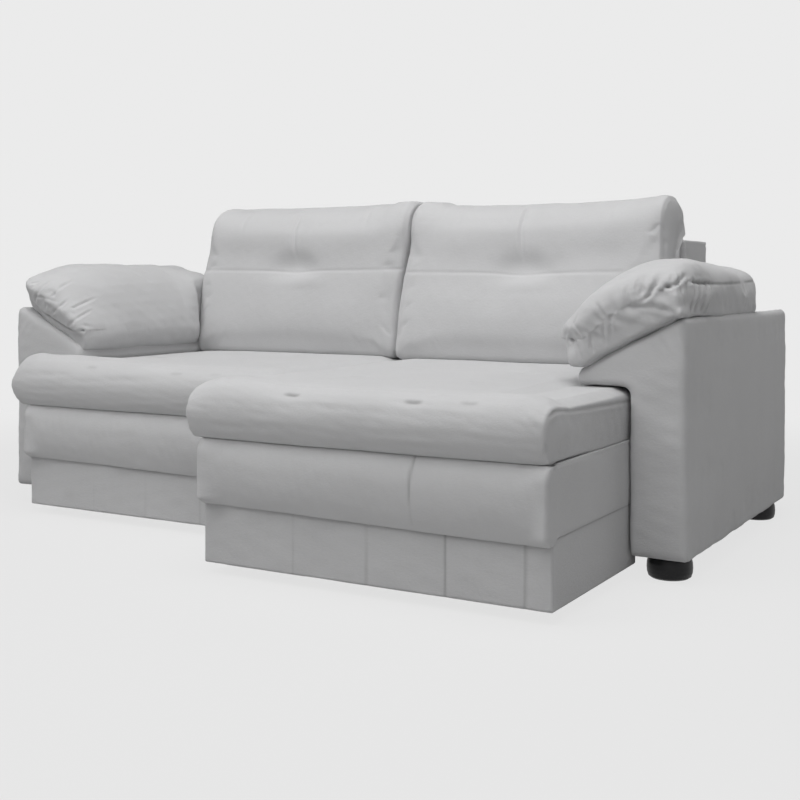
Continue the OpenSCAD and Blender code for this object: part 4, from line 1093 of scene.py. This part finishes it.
def build_seat_cushion(side, mesh):
    """A long seat cushion with a rounded front, sewn ends, a seam along its front and small tufts."""
    low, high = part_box(f"{side}_seat_cushion")
    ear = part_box("right_arm_cover")[0]
    wide, deep, tall = high - low
    piece = bpy.data.objects.new(f"{side}_seat_pillow", mesh.copy())
    bpy.context.scene.collection.objects.link(piece)
    co = places(piece)
    no = normals(piece)
    up = np.clip(no[:, 2] * 1.5, 0, 1)
    front = np.clip(-no[:, 1], 0, 1)
    amount = 0.0008 * ripple(co, 0.28, 41 + SIDES[side], (0.5, 1, 1))
    amount += 0.00022 * ripple(co, 0.05, 43 + SIDES[side], (0.6, 1, 1))
    amount += 0.0004 * front * ripple(co, 0.03, 45 + SIDES[side], (0.06, 1, 1))
    seam_shade = np.zeros(len(co))
    gusset = [(0.016, 0.028), (0.006, 0.058), (0.010, 0.084), (0.026, 0.1015), (0.055, 0.1085), (0.10, 0.108),
              (0.25, 0.102), (0.48, 0.095), (0.90, 0.094), (deep, 0.092)]
    # The seam at each end: a groove with a soft lip, and painted shade in the groove
    for x in (0.003, wide - 0.003):
        d, _, _ = along_path(co, [(x, y, z) for y, z in gusset])
        seam_shade = np.maximum(seam_shade, bell(d, 0.0036))
        amount += 0.0010 * bell(d - 0.010, 0.006) - 0.0026 * bell(d, 0.004)
    # The seam along the front edge, then the tufts, with painted shade in their dashes
    front_line = [(0.10, 0.066), (0.28, 0.060), (0.45, 0.058), (0.62, 0.060), (0.78, 0.064), (0.90, 0.072)]
    d, _, _ = along_path(co * (1, 1, 0), [(x, y, 0) for x, y in front_line])
    amount -= up * (0.0030 * bell(d, 0.024) + 0.0008 * bell(d, 0.004))
    for x, y, share in TUFTS:
        share *= 1.0 if side == "right" or y > 0.1 else 0.35
        here = np.hypot((co[:, 0] - x) * 0.55, co[:, 1] - y)
        dash = np.exp(-(((co[:, 0] - x) / 0.020) ** 4)) * bell(co[:, 1] - y, 0.0045)
        amount -= share * up * (0.004 * bell(here, 0.035) + 0.002 * bell(here, 0.010) + 0.003 * dash)
        seam_shade = np.maximum(seam_shade, share * up * dash)
    # Two wrinkles at the right front corner
    for x, z, dx, dz in ((wide - 0.050, 0.088, 0.014, 0.014), (wide - 0.034, 0.082, 0.010, 0.016)):
        wrinkle = [(x, 0.006, z + dz), (x + dx, 0.002, z), (x + 1.6 * dx, 0.002, z - dz)]
        amount += crease(co, wrinkle, 0.005, 0.0026)
    push(piece, amount)
    # Painted shade in the end seams and the tufts' dashes
    paint_shade(piece, seam_shade)
    x, y, z = places(piece).T
    # The top falls towards the arm, and the left seat's front rises a little
    outer = step_up(SIDES[side] * (x / wide - 0.5), 0.1, 0.5) * step_up(y / deep, 0.07, 0.15)
    z = z - 0.006 * outer * step_up(z / tall, 0.3, 1.0)
    if side == "left":
        front_left = step_down(x, 0.32, 0.62) * step_up(y, 0.0, 0.06)
        z = z + 0.010 * front_left * step_down(y, 0.11, 0.148) * step_up(z, 0.06, 0.12)
    # It slides under the arm's overhang without touching it
    beside = np.clip(ear.x - 0.024 - SIDES[side] * (x + low.x), 0, 1)
    before = np.clip(0.140 - y, 0, 1)
    z = np.minimum(z, sizes().ear_under - 0.0012 - low.z + 0.22 * beside + 0.45 * before)
    # The left front corners: full on the left seat, lower on the right one
    if side == "left":
        corner = step_down(x, 0.0, 0.10) * step_down(y, 0.105, 0.145)
        x = x - 0.020 * corner * bump(z, 0.06, 0.075)
    else:
        corner = step_down(x, 0.0, 0.14) * step_down(y, 0.02, 0.22)
        z = z - 0.014 * corner * step_up(z, 0.04, 0.12)
    x = x + low.x
    x = np.maximum(x, HALF_GAP) if side == "right" else np.minimum(x, -HALF_GAP)
    move_to(piece, np.column_stack([x, np.minimum(y + low.y, high.y), np.maximum(z + low.z, low.z - 0.001)]))
    settle(piece, f"{side}_seat_cushion", f"{side}_seat")


def build_seat_band(side):
    """The padded roll round the seat's front and sides, which closes up to the cushion."""
    low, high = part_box(f"{side}_seat_band")
    board_low, board_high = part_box(f"{side}_seat_front_board")
    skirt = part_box(f"{side}_seat_skirt")[0]
    rear = high.y
    x0, x1, y0 = board_low.x, board_high.x, board_low.y
    left_t, front_t, right_t = x0 - low.x, y0 - low.y, high.x - x1
    tall = high.z - low.z
    corner = 0.012
    tongue = 0.024
    u = (1 - np.cos(np.linspace(0, math.pi, 34))) / 2
    down = np.clip((0.60 - u) / 0.60, 0, 1) ** 2.2
    long_shape = 1 - 0.60 * down - 0.54 * np.clip((u - 0.60) / 0.40, 0, 1) ** 2.0
    foot_in = 0.55 * np.clip((0.12 - u) / 0.12, 0, 1) ** 2
    end_shape = 1 - foot_in - 0.45 * np.clip((u - 0.78) / 0.22, 0, 1) ** 2
    lap = y0 - skirt.y + 0.0006
    # Round the board: place, way out from it and thickness there
    route = [(x0, y, -1, 0, left_t) for y in np.linspace(rear, y0 + 0.03, 60)]
    for k in np.linspace(0, 1, 12):
        turn = k * math.pi / 2
        thick = left_t * (1 - k) + front_t * k
        route.append((x0, y0 + corner * (1 - k), -math.cos(turn), -math.sin(turn), thick))
    route += [(x, y0, 0, -1, front_t) for x in np.linspace(x0 + 0.006, x1 - 0.006, 170)]
    for k in np.linspace(0, 1, 12):
        turn = k * math.pi / 2
        thick = front_t * (1 - k) + right_t * k
        route.append((x1, y0 + corner * k, math.sin(turn), -math.cos(turn), thick))
    route += [(x1, y, 1, 0, right_t) for y in np.linspace(y0 + 0.03, rear, 60)]
    # Each section starts on the board, laps over the skirt and closes with a tongue under the cushion
    rings = []
    for x, y, nx, ny, t in route:
        full = step_up(t, right_t * 1.2, front_t)
        square = max(step_down(x, x0, x0 + 0.07), step_up(x, x1 - 0.05, x1))
        shape = long_shape * (1 - square) + end_shape * square
        hem = -0.002 - full * (0.006 + 0.010 * step_up(x, x0, x1))
        start = min(lap, 0.65 * t)
        off = full * 1.32 * t * shape + (1 - full) * (start + (t - start) * shape)
        ring = [(0.0, low.z), (start, low.z)] + list(zip(off, low.z + hem + (tall - hem + 0.003) * u))
        ring += [(-tongue, high.z + 0.0045), (-tongue, high.z + 0.0008), (0.0, high.z + 0.0008)]
        rings.append([(x + nx * o, y + ny * o, h) for o, h in ring])
    piece = loft(f"{side}_seat_roll", rings)
    co = places(piece)
    co[:, 0] -= 0.007 * step_down(co[:, 0] - x0, -0.02, 0.2) * step_down(co[:, 1], y0 + 0.2, y0 + 0.4)
    move_to(piece, co)
    no = normals(piece)
    z = co[:, 2]
    shown = np.clip(-no[:, 1] + np.abs(no[:, 0]), 0, 1) * step_up(z, low.z - 0.01, low.z + 0.02)
    shown *= step_down(z, high.z - 0.004, high.z)
    amount = shown * 0.0013 * ripple(co, 0.17, 51 + SIDES[side], (1, 1, 0.6))
    amount += shown * 0.0004 * ripple(co, 0.045, 53)
    # The upright seam that only the right seat shows
    if side == "right":
        x = x0 - 0.053 + 0.626
        line = [(x, 0, low.z), (x + 0.002, 0, low.z + 0.6 * tall), (x + 0.007, 0, high.z)]
        fade = (co[:, 1] < y0 - 0.004) * (0.25 + 0.75 * step_up(z, low.z + 0.035, low.z + 0.07))
        flat = co * (1, 0, 1)
        amount += fade * seam(flat, line, width=0.0032, depth=0.0022)
        # Painted shade in the seam's groove
        sewn = 0.8 * fade * bell(along_path(flat, line)[0], 0.003)
    else:
        sewn = np.zeros(len(co))
    push(piece, amount)
    paint_shade(piece, sewn)
    hold_in(piece, (low.x - 0.014, low.y - 0.010, low.z - 0.03), (high.x, high.y, high.z + 0.006))
    settle(piece, f"{side}_seat_band", f"{side}_seat")


def build_seat_skirt(side):
    """The skirt: thin padded cloth round the front and both sides, sewn in panels."""
    low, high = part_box(f"{side}_seat_skirt")
    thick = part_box(f"{side}_seat_front_board")[0].y - low.y
    r = 0.006
    fold = 0.003
    turns = np.linspace(0, math.pi / 2, 7)
    begin = low.y + r + 0.004
    # Round the outside: place and way out
    outer = [(low.x, y, -1, 0) for y in np.linspace(high.y, begin, 70)]
    for t in turns:
        c, s = math.cos(t), math.sin(t)
        outer.append((low.x + r * (1 - c), low.y + r * (1 - s), -c, -s))
    outer += [(x, low.y, 0, -1) for x in np.linspace(low.x + r + 0.004, high.x - r - 0.004, 190)]
    for t in turns:
        c, s = math.cos(t), math.sin(t)
        outer.append((high.x - r * (1 - s), low.y + r * (1 - c), s, -c))
    outer += [(high.x, y, 1, 0) for y in np.linspace(begin, high.y, 70)]
    heights = np.linspace(low.z, high.z, 40)
    rings = []
    for x, y, nx, ny in outer:
        ring = [(x - nx * thick, y - ny * thick, z) for z in heights[::-1]]
        ring += [(x - nx * o, y - ny * o, low.z) for o in (thick - fold, fold)]
        ring += [(x, y, z) for z in heights + np.linspace(fold, 0, len(heights))]
        rings.append(ring)
    piece = loft(f"{side}_seat_apron", rings)
    co = places(piece)
    co[:, 0] -= 0.009 * step_down(co[:, 0] - low.x, 0.0, 0.25)
    co[:, 0] -= 0.003 * step_up(co[:, 0], high.x - 0.02, high.x)
    move_to(piece, co)
    x, y, z = co.T
    out = np.clip(-normals(piece)[:, 1], 0, 1) * (y < low.y + 0.004)
    amount = out * 0.0013 * ripple(co, 0.18, 61 + SIDES[side], (1.4, 1, 0.4))
    amount += out * 0.0004 * ripple(co, 0.05, 63)
    painted_seam_shade = np.zeros(len(co))
    strong = {"left": 0.3, "right": 1.0}[side]
    # Seams between panels: place, depth as a share, whether it runs to the top on the right seat
    panel_seams = ((0.30, 0.35, False), (0.50, 0.7, False), (0.70, 1.0, True), (0.89, 0.9, True))
    for place, share, whole in panel_seams:
        far = x - (high.x - 0.955) - place
        fade = share * strong
        if not (whole and side == "right"):
            fade = fade * (0.45 + 0.55 * step_down(z, low.z + 0.05, low.z + 0.11))
        amount -= out * fade * (0.0016 * bell(far, 0.003) + 0.0011 * bell(far, 0.02))
        painted_seam_shade = np.maximum(painted_seam_shade, out * fade * bell(far, 0.003))
    # Painted shade in the panel seams, and a painted shadow under the roll along the skirt's top edge
    paint_shade(piece, np.maximum(0.8 * painted_seam_shade, 0.7 * step_up(z, high.z - 0.009, high.z - 0.002)))
    push(piece, amount)
    hold_in(piece, (low.x - 0.010, low.y - 0.003, low.z), (high.x, high.y, high.z - 0.0003))
    settle(piece, f"{side}_seat_skirt", f"{side}_seat")


def build_back_frame_cover():
    """The padded back frame's cover, with soft edges and a seam round its top."""
    low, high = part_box("back_cover")
    points = [(x, y, z) for x in (low.x, high.x) for y in (low.y, high.y) for z in (low.z, high.z)]
    faces = [(0, 1, 3, 2), (4, 6, 7, 5), (0, 4, 5, 1), (2, 3, 7, 6), (0, 2, 6, 4), (1, 5, 7, 3)]
    piece = new_piece("back_frame_cloth", points, faces)
    if signed_volume(piece) < 0:
        piece.data.flip_normals()
    remesh(piece, BROAD, 8)
    co = places(piece)
    amount = 0.0013 * ripple(co, 0.2, 71)
    z = high.z - 0.014
    rows = [[(low.x, y, z), (high.x, y, z)] for y in (low.y, high.y)]
    rows += [[(x, low.y, z), (x, high.y, z)] for x in (low.x, high.x)]
    for row in rows:
        amount += seam(co, row, width=sizes().seam_width, depth=sizes().seam_depth)
    push(piece, amount)
    hold_in(piece, low, high)
    settle(piece, "back_cover", "frame")


# Operators


class SOFA_OT_arms(bpy.types.Operator):
    """Upholsters both arms"""

    bl_idname = "sofa.arms"
    bl_label = "Arms"

    def execute(self, context):
        for side in SIDES:
            build_arm(side)
        return {"FINISHED"}


class SOFA_OT_arm_pads(bpy.types.Operator):
    """Lays the gathered pads on the arms"""

    bl_idname = "sofa.arm_pads"
    bl_label = "Arm pads"

    def execute(self, context):
        for side in SIDES:
            build_pad(side)
        return {"FINISHED"}


class SOFA_OT_back_frame(bpy.types.Operator):
    """Covers the padded back frame"""

    bl_idname = "sofa.back_frame"
    bl_label = "Back frame"

    def execute(self, context):
        build_back_frame_cover()
        dress_nodes(cloth_material(), "rear_panel")
        return {"FINISHED"}


class SOFA_OT_back_cushions(bpy.types.Operator):
    """Stands the loose back cushions on the seats"""

    bl_idname = "sofa.back_cushions"
    bl_label = "Back cushions"

    def execute(self, context):
        for side in SIDES:
            build_back_cushion(side)
        return {"FINISHED"}


class SOFA_OT_seat_cushions(bpy.types.Operator):
    """Makes the long seat cushions"""

    bl_idname = "sofa.seat_cushions"
    bl_label = "Seat cushions"

    def execute(self, context):
        mesh = seat_cushion_mesh()
        for side in SIDES:
            build_seat_cushion(side, mesh)
        bpy.data.objects.remove(bpy.data.objects["seat_pillow"])
        return {"FINISHED"}


class SOFA_OT_seat_cases(bpy.types.Operator):
    """Covers the pull-out seat boxes with their padded rolls and skirts"""

    bl_idname = "sofa.seat_cases"
    bl_label = "Seat rolls and skirts"

    def execute(self, context):
        for side in SIDES:
            build_seat_band(side)
            build_seat_skirt(side)
        return {"FINISHED"}


class SOFA_OT_frame_parts(bpy.types.Operator):
    """Finishes the wood, steel, plastic and webbing that the frame carries"""

    bl_idname = "sofa.frame_parts"
    bl_label = "Frame parts"

    def execute(self, context):
        timber = wood_material("sawn_timber", finish().timber, (3.0, 60.0, 60.0), 5.0)
        upright = wood_material("upright_timber", finish().timber, (60.0, 60.0, 3.0), 5.0)
        plywood = wood_material("plywood", finish().plywood, (18.0, 3.0, 40.0), 9.0)
        steel = steel_material()
        plastic = plastic_material("moulded_plastic", finish().feet, 0.34, 0.5)
        rubber = plastic_material("stop_rubber", (0.02, 0.02, 0.02), 0.6, 0.85)
        straps = strap_material("webbing", (0.03, 0.03, 0.032), (0.16, 0.16, 0.17), 0.002)
        felt = strap_material("deck_felt", (0.15, 0.15, 0.155), (0.34, 0.34, 0.35), 0.0012)
        dress_nodes(timber, "middle_beam", "rear_beam", "left_arm_rails", "right_arm_rails")
        dress_nodes(upright, "back_posts")
        dress_nodes(plywood, "left_arm_panels", "right_arm_panels", "back_boards")
        dress_nodes(steel, "foot_bolts", "frame_bolts", "left_rails", "right_rails", "rail_screws")
        dress_nodes(plastic, "bun_feet", "centre_legs")
        dress_nodes(rubber, "rail_stops")
        dress_nodes(straps, "back_webbing")
        for side in SIDES:
            dress_nodes(timber, f"{side}_seat_cross_boards")
            dress_nodes(upright, f"{side}_corner_blocks")
            dress_nodes(plywood, f"{side}_seat_front_board", f"{side}_seat_side_boards")
            dress_nodes(steel, f"{side}_wheel_forks", f"{side}_roller_brackets", f"{side}_axles",
                        f"{side}_seat_screws")
            dress_nodes(plastic, f"{side}_front_wheels", f"{side}_rear_rollers")
            dress_nodes(straps, f"{side}_seat_webbing")
            dress_nodes(felt, f"{side}_seat_deck")
        return {"FINISHED"}


def lamp(name, place, aim, size, power):
    """A square area lamp that faces a point."""
    light = bpy.data.lights.new(name, "AREA")
    light.shape = "SQUARE"
    light.size = size
    light.energy = power
    lit = bpy.data.objects.new(name, light)
    bpy.context.scene.collection.objects.link(lit)
    lit.location = place
    lit.rotation_euler = (Vector(aim) - Vector(place)).to_track_quat("-Z", "Y").to_euler()


def backdrop_level(tree, plain, level, share):
    """Shows a plain brightness to the camera, gloss and glass in place of share of a shader."""
    path = tree.nodes.new("ShaderNodeLightPath")
    shine = math_node(tree, "MAXIMUM", path.outputs["Is Glossy Ray"], path.outputs["Is Transmission Ray"])
    seen = math_node(tree, "MAXIMUM", path.outputs["Is Camera Ray"], shine)
    glow = tree.nodes.new("ShaderNodeEmission")
    glow.inputs["Color"].default_value = (level, level, level, 1)
    glow.inputs["Strength"].default_value = 1.0
    mix = tree.nodes.new("ShaderNodeMixShader")
    tree.links.new(math_node(tree, "MULTIPLY", seen, share), mix.inputs[0])
    tree.links.new(plain, mix.inputs[1])
    tree.links.new(glow.outputs[0], mix.inputs[2])
    return mix.outputs[0]


class SOFA_OT_stage(bpy.types.Operator):
    """Sets the floor, the lamps, the background and the camera"""

    bl_idname = "sofa.stage"
    bl_label = "Stage"

    def execute(self, context):
        studio = context.scene.sofa_studio
        half = 30.0
        corners = [(-half, -half, 0), (half, -half, 0), (half, half, 0), (-half, half, 0)]
        floor = new_piece("studio_floor", corners, [(0, 1, 2, 3)])
        material, tree, shader = blank_material("pale_floor")
        shader.inputs["Base Color"].default_value = (0.55, 0.55, 0.55, 1)
        shader.inputs["Roughness"].default_value = 0.9
        shader.inputs["Specular IOR Level"].default_value = 0.0
        out = next(n for n in tree.nodes if n.type == "OUTPUT_MATERIAL")
        place = tree.nodes.new("ShaderNodeTexCoord")
        far = tree.nodes.new("ShaderNodeVectorMath")
        far.operation = "LENGTH"
        tree.links.new(place.outputs["Object"], far.inputs[0])
        ring = tree.nodes.new("ShaderNodeMapRange")
        ring.interpolation_type = "SMOOTHSTEP"
        for label, value in (("From Min", 1.6), ("From Max", 3.6), ("To Min", 0.88), ("To Max", 1.0)):
            ring.inputs[label].default_value = value
        tree.links.new(far.outputs["Value"], ring.inputs["Value"])
        tree.links.new(backdrop_level(tree, shader.outputs[0], studio.backdrop, ring.outputs["Result"]),
                       out.inputs["Surface"])
        floor.data.materials.append(material)
        world = bpy.data.worlds.new("studio")
        world.use_nodes = True
        tree = world.node_tree
        plain = next(n for n in tree.nodes if n.type == "BACKGROUND")
        plain.inputs["Color"].default_value = (1, 1, 1, 1)
        plain.inputs["Strength"].default_value = studio.ambient
        out = next(n for n in tree.nodes if n.type == "OUTPUT_WORLD")
        tree.links.new(backdrop_level(tree, plain.outputs[0], studio.backdrop, 1.0), out.inputs["Surface"])
        context.scene.world = world
        middle = (0.0, -0.1, 0.4)
        lamp("top", (0.5, -1.2, 4.6), middle, 3.2, studio.top)
        lamp("key", (-2.6, -3.4, 4.2), middle, 3.0, studio.key)
        lamp("fill", (3.2, -4.6, 3.4), middle, 3.0, studio.fill)
        lamp("rim", (2.5, 1.2, 2.0), (0.6, 0.0, 0.5), 1.5, studio.rim)
        camera_data = bpy.data.cameras.new("camera")
        camera_data.lens = studio.lens
        camera_data.sensor_width = 36.0
        camera_data.shift_y = studio.shift
        camera_data.clip_end = 200.0
        camera = bpy.data.objects.new("camera", camera_data)
        camera.location = studio.camera_place
        camera.rotation_euler = (math.radians(90), 0, studio.camera_turn)
        context.scene.collection.objects.link(camera)
        context.scene.camera = camera
        context.scene.view_settings.view_transform = "Standard"
        return {"FINISHED"}


class SOFA_PT_panel(bpy.types.Panel):
    """Lists the sofa's steps"""

    bl_label = "Sofa"
    bl_idname = "SOFA_PT_panel"
    bl_space_type = "VIEW_3D"
    bl_region_type = "UI"
    bl_category = "Sofa"

    def draw(self, context):
        for step in STEPS:
            self.layout.operator(step.bl_idname)


STEPS = (SOFA_OT_stage, SOFA_OT_frame_parts, SOFA_OT_arms, SOFA_OT_arm_pads, SOFA_OT_back_frame,
         SOFA_OT_back_cushions, SOFA_OT_seat_cushions, SOFA_OT_seat_cases)
GROUPS = {"sofa_sizes": SofaSizes, "sofa_finish": SofaFinish, "sofa_studio": SofaStudio}


def register():
    for kind in (*GROUPS.values(), *STEPS, SOFA_PT_panel):
        bpy.utils.register_class(kind)
    for name, kind in GROUPS.items():
        setattr(bpy.types.Scene, name, bpy.props.PointerProperty(type=kind))


def unregister():
    for name in GROUPS:
        delattr(bpy.types.Scene, name)
    for kind in (SOFA_PT_panel, *reversed(STEPS), *reversed(GROUPS.values())):
        bpy.utils.unregister_class(kind)


def main():
    register()
    bpy.ops.sofa.stage()
    bpy.ops.sofa.frame_parts()
    bpy.ops.sofa.arms()
    bpy.ops.sofa.arm_pads()
    bpy.ops.sofa.back_frame()
    bpy.ops.sofa.back_cushions()
    bpy.ops.sofa.seat_cushions()
    bpy.ops.sofa.seat_cases()


if __name__ == "__main__":
    main()
